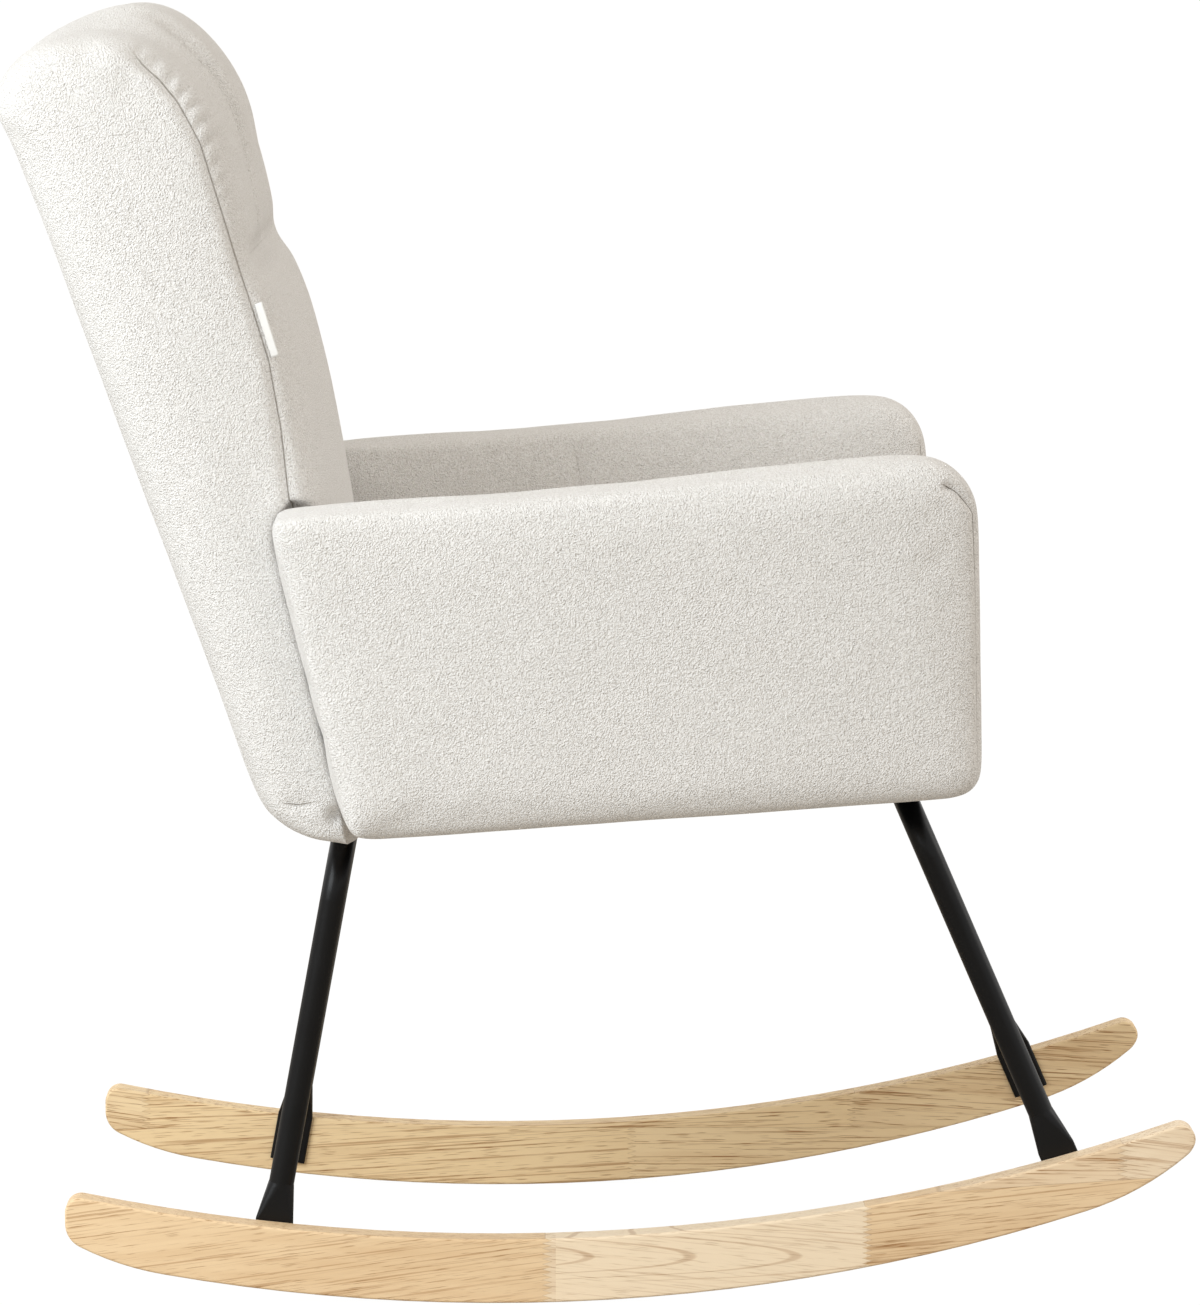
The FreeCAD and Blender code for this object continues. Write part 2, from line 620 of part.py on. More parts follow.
def make_seat_frame():
    rails = {"front": "front_rail_x", "rear": "rear_rail_x"}
    bolts, washers, nuts = [], [], []
    for end, rail_x in rails.items():
        blank = box(end + "_rail_blank", "rail_thickness", "2 * rail_inner", "rail_height")
        lean(blank, seat_point(rail_x, "-rail_inner", "dust_cover_thickness"), "seat_tilt")
        holes = []
        for side, word in SIDES:
            name = f"{word}_{end}"
            x, y = end + "_bolt_x", f"{side} * bar_spacing / 2"
            bolt, washer, nut = bolt_through_bar(name, x, y)
            bolts.append(bolt)
            washers.append(washer)
            nuts.append(nut)
            holes += [bolt_hole(name + "_rail_hole", x, y), barrel_hole(name + "_barrel_hole", x, y)]
        node(f"seat_{end}_rail", drilled(f"seat_{end}_rail", blank, holes))
    node("seat_bolts", group("seat_bolts", bolts))
    node("seat_washers", group("seat_washers", washers))
    node("seat_tee_nuts", group("seat_tee_nuts", nuts))

    for side, word in SIDES:
        length = "front_rail_x + rail_thickness - side_rail_rear_x"
        bar = box(word + "_bar_blank", length, "bar_width", "bar_thickness")
        middle = f"{side} * bar_spacing / 2"
        lean(bar, seat_point("side_rail_rear_x", f"{middle} - bar_width / 2", "-bar_thickness"), "seat_tilt")
        holes = [bolt_hole(f"{word}_{end}_bar_hole", end + "_bolt_x", middle) for end in rails]
        node(word + "_seat_bar", drilled(word + "_seat_bar", bar, holes))
        make_side_rail(side, word)

    sheet = box("dust_cover_blank", "front_rail_x + rail_thickness - rear_rail_x", "2 * rail_outer",
                "dust_cover_thickness")
    lean(sheet, seat_point("rear_rail_x", "-rail_outer", "0"), "seat_tilt")
    holes = [bolt_hole(f"{word}_{end}_cloth_hole", end + "_bolt_x", f"{side} * bar_spacing / 2")
             for end in rails for side, word in SIDES]
    node("dust_cover", drilled("dust_cover", sheet, holes))
    make_seat_webbing()


def make_side_rail(side, word):
    """A side rail runs on behind the seat, where the back's stile is bolted against its inner face."""
    front, rear = "front_rail_x + rail_thickness", "side_rail_rear_x"
    bottom, top = "dust_cover_thickness", "rail_top + webbing_thickness"
    corners = [(front, bottom), (front, top), (rear, top), (rear, f"{bottom} + side_rail_chamfer"),
               (f"{rear} + side_rail_chamfer", bottom)]
    blank = board(f"seat_{word}_rail_blank", corners, "rail_thickness")
    lean(blank, seat_point("0", f"{side} * (rail_outer - rail_thickness / 2)", "0"), "seat_tilt")
    holes = []
    bore = "bolt_diameter + bolt_clearance"
    for number, x in enumerate(arm_bolt_places()):
        holes.append(rod_across(f"{word}_rail_arm_hole_{number}", bore, "2 * rail_thickness",
                                seat_point(x, "rail_inner - rail_thickness / 2", "arm_bolt_height"), side))
    for height in ("lap_bolt_low", "lap_bolt_high"):
        holes.append(rod_across(f"{word}_rail_{height}_hole", bore, "2 * rail_thickness",
                                back_point("stile_set + stile_depth / 2",
                                           "rail_inner - rail_thickness / 2", height), side))
    node(f"seat_{word}_rail", drilled(f"seat_{word}_rail", blank, holes))


def make_seat_webbing():
    """Five straps from the rear rail to the front rail, and four across them from side to side."""
    length = "front_rail_x + rail_thickness - rear_rail_x"
    straps = []
    for step in range(-2, 3):
        strap = box(f"long_strap_{step + 3}", length, "webbing_width", "webbing_thickness")
        straps.append(lean(strap, seat_point("rear_rail_x", f"{step} * webbing_pitch - webbing_width / 2",
                                             "rail_top"), "seat_tilt"))
    node("seat_long_webbing", group("seat_long_webbing", straps))
    straps = []
    for step in range(4):
        strap = box(f"cross_strap_{step + 1}", "webbing_width", "2 * rail_outer", "webbing_thickness")
        x = f"rear_rail_x + ({length}) * ({2 * step + 1}) / 8 - webbing_width / 2"
        straps.append(lean(strap, seat_point(x, "-rail_outer", "rail_top + webbing_thickness"), "seat_tilt"))
    node("seat_cross_webbing", group("seat_cross_webbing", straps))


def arm_bolt_places():
    span = "(front_rail_x - rear_rail_x)"
    return [f"rear_rail_x + {span} * arm_bolt_{word}_share" for word in ("rear", "middle", "front")]


def arm_board_corners():
    margin = "arm_board_margin"
    return [(f"arm_rear_bottom_x + {margin}", f"0.5 * {margin}"),
            (f"arm_front_bottom_x - {margin}", f"0.5 * {margin}"),
            (f"arm_front_top_x - {margin}", f"arm_front_height - 2 * {margin}"),
            (f"arm_front_top_x - 2.5 * {margin}", f"arm_front_height - {margin}"),
            (f"arm_rear_top_x + {margin}", f"arm_rear_height - {margin}")]


def make_arm_hardware():
    bolts, nuts = [], []
    bore = "bolt_diameter + bolt_clearance"
    start = "rail_inner - bolt_head_height"
    nut_face = "arm_board_face + arm_board_thickness"
    for side, word in SIDES:
        blank = board(word + "_arm_board_blank", arm_board_corners(), "arm_board_thickness")
        lean(blank, seat_point("0", f"{side} * (arm_board_face + arm_board_thickness / 2)", "0"), "seat_tilt")
        holes = []
        for number, x in enumerate(arm_bolt_places()):
            name = f"{word}_arm_{number}"
            height = "arm_bolt_height"
            barrel_start = f"{nut_face} - tee_barrel_length"
            holes.append(rod_across(name + "_board_hole", bore, "arm_board_thickness",
                                    seat_point(x, "arm_board_face", height), side))
            holes.append(rod_across(name + "_barrel_hole", "tee_barrel_diameter", "tee_barrel_length",
                                    seat_point(x, barrel_start, height), side))
            shank = rod_across(name + "_shank", "bolt_diameter", f"{nut_face} - rail_inner",
                               seat_point(x, "rail_inner", height), side)
            head = rod_across(name + "_head", "bolt_head_diameter", "bolt_head_height",
                              seat_point(x, start, height), side)
            bolts.append(joined(name + "_bolt", [shank, head]))
            flange = rod_across(name + "_flange", "tee_flange_diameter", "tee_flange_thickness",
                                seat_point(x, nut_face, height), side)
            barrel = rod_across(name + "_barrel", "tee_barrel_diameter", "tee_barrel_length",
                                seat_point(x, barrel_start, height), side)
            thread = rod_across(name + "_thread", "bolt_diameter",
                                "tee_barrel_length + tee_flange_thickness",
                                seat_point(x, barrel_start, height), side)
            nuts.append(drilled(name + "_tee_nut", joined(name + "_tee", [flange, barrel]), [thread]))
        node(word + "_arm_board", drilled(word + "_arm_board", blank, holes))
    node("arm_bolts", group("arm_bolts", bolts))
    node("arm_tee_nuts", group("arm_tee_nuts", nuts))


def make_back_frame():
    bolts, nuts = [], []
    bore = "bolt_diameter + bolt_clearance"
    for side, word in SIDES:
        blank = box(word + "_stile_blank", "stile_depth", "rail_thickness", "stile_length")
        y = "stile_inner" if side > 0 else "-rail_inner"
        lean(blank, back_point("stile_set", y, "0"), "back_angle")
        holes = []
        for height in ("lap_bolt_low", "lap_bolt_high"):
            name = f"{word}_{height}"
            depth = "stile_set + stile_depth / 2"
            holes.append(rod_across(name + "_hole", bore, "2 * rail_thickness",
                                    back_point(depth, "stile_inner - rail_thickness / 2", height), side))
            inner = "stile_inner - washer_thickness"
            grip = "2 * rail_thickness + washer_thickness"
            shank = rod_across(name + "_shank", "bolt_diameter", f"{grip} + nut_height",
                               back_point(depth, f"{inner} - nut_height", height), side)
            head = rod_across(name + "_head", "bolt_head_diameter", "bolt_head_height",
                              back_point(depth, f"{inner} + {grip}", height), side)
            bolts.append(joined(name + "_bolt", [shank, head]))
            disc = rod_across(name + "_disc", "washer_diameter", "washer_thickness",
                              back_point(depth, inner, height), side)
            nut = rod_across(name + "_nut_body", "nut_diameter", "nut_height",
                             back_point(depth, f"{inner} - nut_height", height), side)
            thread = rod_across(name + "_thread", "bolt_diameter", "nut_height + washer_thickness",
                                back_point(depth, f"{inner} - nut_height", height), side)
            nuts.append(drilled(name + "_nut", joined(name + "_nut_blank", [disc, nut]), [thread]))
        node(f"back_{word}_stile", drilled(f"back_{word}_stile", blank, holes))
    node("back_bolts", group("back_bolts", bolts))
    node("back_flange_nuts", group("back_flange_nuts", nuts))

    places = {"bottom": "bottom_rail_height", "middle": "middle_rail_height",
              "top": "stile_length - back_rail_width"}
    for word, height in places.items():
        rail = box(f"back_{word}_rail", "stile_depth", "2 * stile_inner", "back_rail_width")
        node(f"back_{word}_rail", lean(rail, back_point("stile_set", "-stile_inner", height), "back_angle"))

    straps = []
    for step in range(5):
        strap = box(f"back_strap_{step + 1}", "webbing_thickness", "2 * rail_inner", "webbing_width")
        height = f"bottom_rail_height + back_rail_width + webbing_width / 2 + {step} * back_strap_pitch"
        straps.append(lean(strap, back_point("stile_front", "-rail_inner", height), "back_angle"))
    node("back_webbing", group("back_webbing", straps))

    panel = box("back_rear_panel", "rear_panel_thickness", "2 * rail_inner",
                "stile_length - bottom_rail_height")
    node("back_rear_panel", lean(panel, back_point("stile_set - rear_panel_thickness", "-rail_inner",
                                                   "bottom_rail_height"), "back_angle"))


def inset_corners(corners, inset):
    """Moves every side of a convex outline, given anticlockwise, inwards by the same distance."""
    count = len(corners)
    sides = []
    for number in range(count):
        (x, z), (next_x, next_z) = corners[number], corners[(number + 1) % count]
        length = math.hypot(next_x - x, next_z - z)
        along = ((next_x - x) / length, (next_z - z) / length)
        sides.append(((x - along[1] * inset, z + along[0] * inset), along))
    moved = []
    for number in range(count):
        (ax, az), (aux, auz) = sides[number - 1]
        (bx, bz), (bux, buz) = sides[number]
        turn = aux * buz - auz * bux
        along = ((bx - ax) * buz - (bz - az) * bux) / turn
        moved.append((ax + aux * along, az + auz * along))
    return moved


def rounded_wire(corners, radii, point):
    """A closed wire of lines and corner arcs. The function point turns two coordinates into a vector."""
    count = len(corners)
    tangents = []
    for number in range(count):
        here = Vector(*corners[number], 0)
        before = (Vector(*corners[number - 1], 0) - here).normalize()
        after = (Vector(*corners[(number + 1) % count], 0) - here).normalize()
        half = before.getAngle(after) / 2
        reach = radii[number] / math.tan(half)
        middle = (before + after).normalize() * (radii[number] / math.sin(half) - radii[number])
        tangents.append((here + before * reach, here + middle, here + after * reach))
    edges = []
    for number in range(count):
        begin, middle, end = (point(spot.x, spot.y) for spot in tangents[number])
        edges.append(Part.Arc(begin, middle, end).toShape())
        following = tangents[(number + 1) % count][0]
        edges.append(Part.LineSegment(end, point(following.x, following.y)).toShape())
    return Part.Wire(edges)


def arm_form(side, skin):
    """An arm's padded block, with its edges rounded over and its flat sides slightly crowned."""
    corners = [(size("arm_rear_bottom_x"), 0), (size("arm_front_bottom_x"), 0),
               (size("arm_front_top_x"), size("arm_front_height")),
               (size("arm_rear_top_x"), size("arm_rear_height"))]
    names = ("rear_bottom", "front_bottom", "front_top", "rear_top")
    radii = [size(f"arm_{name}_radius") for name in names]
    half = size("arm_thickness") / 2 - skin
    edge = size("arm_edge_rounding")
    outer = [(half, 2.2 * edge), (half - 0.12 * edge, 0.75 * edge), (half - 0.42 * edge, 0.22 * edge),
             (half - edge, 0)]
    stations = [(-y, inset) for y, inset in outer] + [(y, inset) for y, inset in reversed(outer)]
    wires = []
    for y, inset in stations:
        place_y = side * size("arm_middle") + y
        rounds = [max(radius - inset - skin, 3) for radius in radii]
        wires.append(rounded_wire(inset_corners(corners, inset + skin), rounds,
                                  lambda x, z, place_y=place_y: Vector(x, place_y, z)))
    return Part.makeLoft(wires, True, True)


def arm_space(side):
    """The room that an arm takes out of the back: its outline, a little larger, through its thickness."""
    corners = [(size("arm_rear_bottom_x"), -50), (size("arm_front_bottom_x"), -50),
               (size("arm_front_top_x"), size("arm_front_height")),
               (size("arm_rear_top_x"), size("arm_rear_height"))]
    corners = inset_corners(corners, -size("soft_gap"))
    start = size("arm_inner_face") - size("soft_gap")
    depth = size("arm_thickness") + 2 * size("soft_gap")
    y = start if side > 0 else -start - depth
    radii = [3, 3, 3, size("arm_rear_top_radius")]
    wire = rounded_wire(corners, radii, lambda x, z: Vector(x, y, z))
    return Part.Face(wire).extrude(Vector(0, depth, 0))


def seat_form(skin):
    """The seat cushion over its frame: straight sides and a crowned top."""
    rear, front = size("seat_rear_x") + skin, size("seat_front_x") - skin
    half, top = size("seat_width") / 2 - skin, size("seat_height") - skin
    crown = size("seat_height") - size("seat_foam_bottom")
    corners = [(rear, -half), (front, -half), (front, half), (rear, half)]
    stations = [(size("dust_cover_thickness") - (20 if skin else 0), 0), (top - 0.6 * crown, 0),
                (top - 0.25 * crown, 0.12 * crown), (top - 0.08 * crown, 0.5 * crown), (top, 1.5 * crown)]
    wires = []
    for z, inset in stations:
        radius = size("seat_corner_radius") + 0.4 * inset
        wires.append(rounded_wire(inset_corners(corners, inset), [radius] * 4,
                                  lambda x, y, z=z: Vector(x, y, z)))
    return Part.makeLoft(wires, True, True)


def back_to_seat(depth, y, height):
    turn = math.radians(size("back_lean"))
    x = size("back_heel_x") + depth * math.cos(turn) - height * math.sin(turn)
    return Vector(x, y, depth * math.sin(turn) + height * math.cos(turn))


def seat_to_back(x, z):
    turn = math.radians(size("back_lean"))
    across = x - size("back_heel_x")
    return across * math.cos(turn) + z * math.sin(turn), z * math.cos(turn) - across * math.sin(turn)


def back_outline(taper, skin, crown=0):
    """Depths and heights of the back's side view. Taper is 1 at the sides, crown is 1 in the middle."""
    rear = taper * size("back_side_rounding") - crown * size("back_rear_crown") + skin
    top = size("back_height") - taper * size("back_top_rounding") - skin
    front = taper * size("back_pad_proud") + skin
    base = size("soft_gap") + skin + 0.2 * taper * size("back_side_rounding")
    top_round = size("back_top_rear_radius") * (1 - 0.45 * taper)
    heel_round = size("back_heel_radius") * (1 - 0.5 * taper)
    slope = math.tan(math.radians(size("back_lean")))
    base_height = base / math.cos(math.radians(size("back_lean"))) - rear * slope
    heel_turn = math.radians(90 - size("back_lean")) / 2
    heel_reach = heel_round * math.tan(heel_turn)
    heel_middle = heel_round * (1 / math.cos(heel_turn) - 1)
    toward = math.radians(45 - size("back_lean") / 2)
    away = math.radians(size("back_lean"))
    low_x = size("seat_rear_x") - size("soft_gap") - skin
    corner_share = 1 - math.sqrt(0.5)
    return {
        "rear_low": (rear, base_height + heel_reach),
        "rear_high": (rear, top - top_round),
        "top_rear_mid": (rear + corner_share * top_round, top - corner_share * top_round),
        "top_rear": (rear + top_round, top),
        "top_front": (size("back_crown_width") - 0.1 * front, top),
        "top_front_mid": (0.73 * size("head_front_depth") + 0.27 * size("back_crown_width") - front,
                          0.3 * size("head_front_height") + 0.7 * top),
        "head_front": (size("head_front_depth") - front, size("head_front_height")
                       - 0.3 * (size("back_height") - top)),
        "head_roll": (size("head_roll_depth") - front, size("head_roll_height")),
        "crease": (size("crease_depth") - 0.5 * front - 0.5 * skin, size("crease_height")),
        "lumbar": (size("lumbar_depth") - 0.8 * front - 0.2 * skin, size("lumbar_height")),
        "seat_line": seat_to_back(low_x, size("seat_height")),
        "toe": seat_to_back(low_x, base),
        "heel_front": (rear + heel_reach * math.cos(away), base_height - heel_reach * math.sin(away)),
        "heel_mid": (rear + heel_middle * math.cos(toward), base_height + heel_middle * math.sin(toward)),
    }


def back_wire(y, taper, crown, skin):
    spot = {name: back_to_seat(depth, y, height)
            for name, (depth, height) in back_outline(taper, skin, crown).items()}
    runs = [("rear_low", "rear_high"), ("rear_high", "top_rear_mid", "top_rear"), ("top_rear", "top_front"),
            ("top_front", "top_front_mid", "head_front"), ("head_front", "head_roll", "crease"),
            ("crease", "lumbar", "seat_line"), ("seat_line", "toe"), ("toe", "heel_front"),
            ("heel_front", "heel_mid", "rear_low")]
    edges = []
    for run in runs:
        spots = [spot[name] for name in run]
        edges.append((Part.Arc(*spots) if len(spots) == 3 else Part.LineSegment(*spots)).toShape())
    return Part.Wire(edges)


def back_form(skin):
    """The back's padded block: a head roll over a lumbar roll, with two tufted lines down the head roll."""
    half = size("back_width") / 2 - skin
    edge = size("back_side_rounding")
    outer = [(half, 1, 0), (half - 0.3 * edge, 0.55, 0), (half - 0.8 * edge, 0.2, 0),
             (half - 2 * edge, 0, 0.3), (half / 3, 0, 0.8)]
    stations = [(-y, taper, crown) for y, taper, crown in outer] + list(reversed(outer))
    wires = [back_wire(y, taper, crown, skin) for y, taper, crown in stations]
    form = Part.makeLoft(wires, True, True)
    for groove in tuft_grooves(skin):
        form = form.cut(groove)
    return form


def tuft_grooves(skin):
    """Round grooves down the head roll, from its top to the crease below it."""
    grooves = []
    for side, _ in SIDES:
        y = side * size("tuft_spacing") / 2
        spot = {name: back_to_seat(depth, y, height) for name, (depth, height) in back_outline(0, 0).items()}
        for run in (("top_front", "top_front_mid", "head_front"), ("head_front", "head_roll", "crease")):
            arc = Part.Arc(*(spot[name] for name in run)).toShape()
            first, last = arc.ParameterRange
            circle = Part.Circle(arc.valueAt(first), arc.tangentAt(first), size("tuft_groove_radius") + skin)
            disc = Part.Face(Part.Wire(circle.toShape()))
            grooves.append(disc.revolve(arc.Curve.Center, arc.Curve.Axis, math.degrees(last - first)))
    return grooves


def soft(label, shape):
    """A soft solid, made in the seat's tilted frame."""
    item = DOC.addObject("Part::Feature", label)
    item.Shape = shape
    lean(item, seat_point("0", "0", "0"), "seat_tilt")
    return node(label, item)


def rod_space(x, z, start, length, diameter):
    return Part.makeCylinder(diameter / 2, length, Vector(x, start, z), Vector(0, 1, 0))


def arm_bolt_spaces(side):
    """The room that an arm's bolts take between the seat's side rail and the arm's board."""
    bore = size("bolt_diameter") + 2 * size("soft_gap")
    near = min(side * size("rail_inner"), side * size("arm_board_face"))
    length = size("arm_board_face") - size("rail_inner")
    return [rod_space(value(x), size("arm_bolt_height"), near, length, bore) for x in arm_bolt_places()]


def make_arm_padding():
    gap = size("soft_gap")
    skin = size("cover_thickness")
    for side, word in SIDES:
        cover = arm_form(side, 0).cut(arm_form(side, skin))
        foam = arm_form(side, size("skin_depth"))
        face = side * size("arm_board_face")
        thick = size("arm_board_thickness") + 2 * gap
        foam = foam.cut(board_space(face - gap if side > 0 else face + gap - thick, thick, gap))
        for hole in arm_bolt_spaces(side):
            cover = cover.cut(hole)
            foam = foam.cut(hole)
        flange_start = size("arm_board_face") + size("arm_board_thickness")
        depth = size("tee_flange_thickness") + gap
        for place_x in arm_bolt_places():
            flange = rod_space(value(place_x), size("arm_bolt_height"),
                               flange_start if side > 0 else -flange_start - depth, depth,
                               size("tee_flange_diameter") + 2 * gap)
            foam = foam.cut(flange)
        soft(word + "_arm_cover", cover)
        soft(word + "_arm_foam", foam)


def board_space(start, thickness, gap):
    corners = [(value(x), value(z)) for x, z in arm_board_corners()]
    spots = [Vector(x, start, z) for x, z in inset_corners(corners, -gap)]
    return Part.Face(Part.makePolygon(spots + spots[:1])).extrude(Vector(0, thickness, 0))


def side_rail_space(side, gap):
    rear = size("side_rail_rear_x") - gap
    front = size("front_rail_x") + size("rail_thickness") + gap
    low = -50
    high = size("rail_top") + size("webbing_thickness") + gap
    start = size("rail_inner") - gap
    width = size("rail_thickness") + 2 * gap
    y = start if side > 0 else -start - width
    return Part.makeBox(front - rear, width, high - low, Vector(rear, y, low))


def make_seat_padding():
    gap = size("soft_gap")
    cover = seat_form(0).cut(seat_form(size("cover_thickness")))
    foam = seat_form(size("skin_depth"))
    rear, front = size("seat_rear_x"), size("front_rail_x") + size("rail_thickness") + gap
    half = size("seat_width")
    foam = foam.cut(Part.makeBox(front - rear + 50, 2 * half, size("seat_foam_bottom") + 50,
                                 Vector(rear - 50, -half, -50)))
    foam = foam.cut(Part.makeBox(200, 2 * half, 50 + size("dust_cover_thickness"),
                                 Vector(front - 100, -half, -50)))
    behind = Part.makeBox(100, 4 * half, 4 * half, Vector(rear - 50, -2 * half, -2 * half))
    for side, _ in SIDES:
        for space in [side_rail_space(side, gap).common(behind)] + arm_bolt_spaces(side):
            cover = cover.cut(space)
    soft("seat_foam", foam)
    soft("seat_cover", cover)


def back_block(depth, half_width, low, high, start):
    """A box in the back's frame, from one depth to another between two heights."""
    block = Part.makeBox(depth - start, 2 * half_width, high - low, Vector(start, -half_width, low))
    turn = FreeCAD.Rotation(Vector(0, -1, 0), size("back_lean"))
    block.Placement = FreeCAD.Placement(Vector(size("back_heel_x"), 0, 0), turn)
    return block


def make_back_padding():
    gap = size("soft_gap")
    cover = back_form(0).cut(back_form(size("cover_thickness")))
    body = back_form(size("skin_depth"))
    frame_front = size("stile_front") + size("webbing_thickness") + gap
    frame_half = size("rail_inner") + gap
    frame_top = size("stile_length") + gap
    foam = body.cut(back_block(frame_front, frame_half, -100, frame_top, -50))
    panel_rear = size("stile_set") - size("rear_panel_thickness") - gap
    wadding = body.common(back_block(panel_rear, frame_half - gap, size("bottom_rail_height"),
                                     frame_top - gap, -50))
    head_room = size("bolt_head_height") + gap
    for side, _ in SIDES:
        for space in (arm_space(side), side_rail_space(side, gap)):
            cover = cover.cut(space)
            foam = foam.cut(space)
        for height in ("lap_bolt_low", "lap_bolt_high"):
            spot = back_to_seat(size("stile_set") + size("stile_depth") / 2, 0, size(height))
            start = size("rail_outer") - gap if side > 0 else -size("rail_outer") - head_room
            foam = foam.cut(rod_space(spot.x, spot.z, start, head_room + gap,
                                      size("bolt_head_diameter") + 2 * gap))
    soft("back_cover", cover)
    soft("back_foam", foam)
    soft("back_rear_wadding", wadding)
    tag = box("side_tag", "tag_width", "tag_thickness", "tag_length")
    depth = "crease_depth - back_pad_proud"
    node("side_tag", lean(tag, back_point(depth, "-back_width / 2 - soft_gap - tag_thickness", "tag_height"),
                          "back_angle"))


def check_and_write():
    DOC.recompute()
    for item in DOC.Objects:
        if "Invalid" in item.State or "Error" in item.State:
            raise RuntimeError(f"{item.Label} did not build: {item.State}")
        if hasattr(item, "Shape") and item.isDerivedFrom("Part::Feature"):
            if item.Shape.isNull() or not item.Shape.isValid():
                raise RuntimeError(f"{item.Label} has no valid shape")
    os.makedirs("parts", exist_ok=True)
    for label, item in NODES.items():
        item.Shape.exportStep(f"parts/{label}.step")
        bounds = item.Shape.BoundBox
        print(f"{label}: {len(item.Shape.Solids)} solid(s), {item.Shape.Volume / 1000:.1f} cm3, "
              f"X {bounds.XMin:.1f} to {bounds.XMax:.1f}, Y {bounds.YMin:.1f} to {bounds.YMax:.1f}, "
              f"Z {bounds.ZMin:.1f} to {bounds.ZMax:.1f}")


fill_sheet()
make_base()
make_seat_frame()
make_arm_hardware()
make_back_frame()
DOC.recompute()
make_seat_padding()
make_arm_padding()
make_back_padding()
check_and_write()
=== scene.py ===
import math

import bmesh
import bpy
import numpy as np
from mathutils import Matrix, Vector, noise


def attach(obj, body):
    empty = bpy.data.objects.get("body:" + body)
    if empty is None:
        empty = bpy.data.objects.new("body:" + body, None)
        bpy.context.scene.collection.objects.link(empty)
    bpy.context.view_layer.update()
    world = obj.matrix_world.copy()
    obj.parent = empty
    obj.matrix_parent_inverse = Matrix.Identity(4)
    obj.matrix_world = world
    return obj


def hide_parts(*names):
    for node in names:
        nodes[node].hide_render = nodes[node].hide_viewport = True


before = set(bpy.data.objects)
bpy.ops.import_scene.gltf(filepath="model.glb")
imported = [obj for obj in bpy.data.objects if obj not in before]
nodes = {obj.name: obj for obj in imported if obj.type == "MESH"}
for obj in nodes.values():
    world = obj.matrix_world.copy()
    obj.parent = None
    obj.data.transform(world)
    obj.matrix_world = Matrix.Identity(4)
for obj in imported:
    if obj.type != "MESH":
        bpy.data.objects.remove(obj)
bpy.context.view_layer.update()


# Rockers. Two boards of pale rubberwood, glued up from finger-jointed blocks in two strips, sawn to the
# rocking curve, rounded along their edges and given a clear matt varnish.


class Wire:
    """One socket inside a finish. Sums, products and comparisons of wires become Math nodes."""

    def __init__(self, finish, socket):
        self.finish = finish
        self.socket = socket

    def math(self, operation, *values):
        return self.finish.node("Math", {"operation": operation}, dict(enumerate((self, *values))))

    def __add__(self, value):
        return self.math("ADD", value)

    def __sub__(self, value):
        return self.math("SUBTRACT", value)

    def __rsub__(self, value):
        return self.finish.node("Math", {"operation": "SUBTRACT"}, {0: value, 1: self})

    def __mul__(self, value):
        return self.math("MULTIPLY", value)

    def __truediv__(self, value):
        return self.math("DIVIDE", value)

    def __gt__(self, value):
        return self.math("GREATER_THAN", value)

    def __lt__(self, value):
        return self.math("LESS_THAN", value)

    def __abs__(self):
        return self.math("ABSOLUTE")

    __radd__ = __add__
    __rmul__ = __mul__

    def rise(self, low, high):
        """0 below low, 1 above high, and a smooth step between them."""
        settings = {"interpolation_type": "SMOOTHSTEP"}
        return self.finish.node("MapRange", settings, {"Value": self, "From Min": low, "From Max": high})


class Finish:
    """A material with one Principled shader. Every other node in it is made by node()."""

    def __init__(self, name):
        self.material = bpy.data.materials.new(name)
        self.material.use_nodes = True
        self.tree = self.material.node_tree
        self.shader = self.tree.nodes["Principled BSDF"]
        self.place = self.node("TexCoord", output="Object")

    def fill(self, node, sockets):
        for name, value in sockets.items():
            if isinstance(value, Wire):
                self.tree.links.new(value.socket, node.inputs[name])
            else:
                node.inputs[name].default_value = value

    def node(self, kind, settings={}, sockets={}, output=0):
        made = self.tree.nodes.new("ShaderNode" + kind)
        for name, value in settings.items():
            setattr(made, name, value)
        self.fill(made, sockets)
        return Wire(self, made.outputs[output])

    def axes(self, vector):
        return [self.node("SeparateXYZ", {}, {0: vector}, axis) for axis in "XYZ"]

    def speckle(self, scales, detail=2.0, vector=None):
        """Noise with its own scale along each axis, about 0.5."""
        spot = self.node("VectorMath", {"operation": "MULTIPLY"}, {0: vector or self.place, 1: scales})
        return self.node("TexNoise", {}, {"Vector": spot, "Scale": 1.0, "Detail": detail})

    def mix(self, share, first, second):
        return self.node("Mix", {"data_type": "RGBA"}, {0: share, 6: first, 7: second}, 2)

    def bump(self, height, depth, strength=1.0):
        return self.node("Bump", {}, {"Height": height, "Distance": depth, "Strength": strength})

    def shade(self, sockets):
        self.fill(self.shader, sockets)


def paint(red, green, blue):
    """A colour given in 0 to 255, as the shader's sockets take it."""
    linear = [
        level / 255 / 12.92 if level < 11 else ((level / 255 + 0.055) / 1.055) ** 2.4
        for level in (red, green, blue)
    ]
    return (*linear, 1.0)


def dress(finish, *names):
    for name in names:
        for slot in nodes[name].material_slots:
            slot.material = finish.material


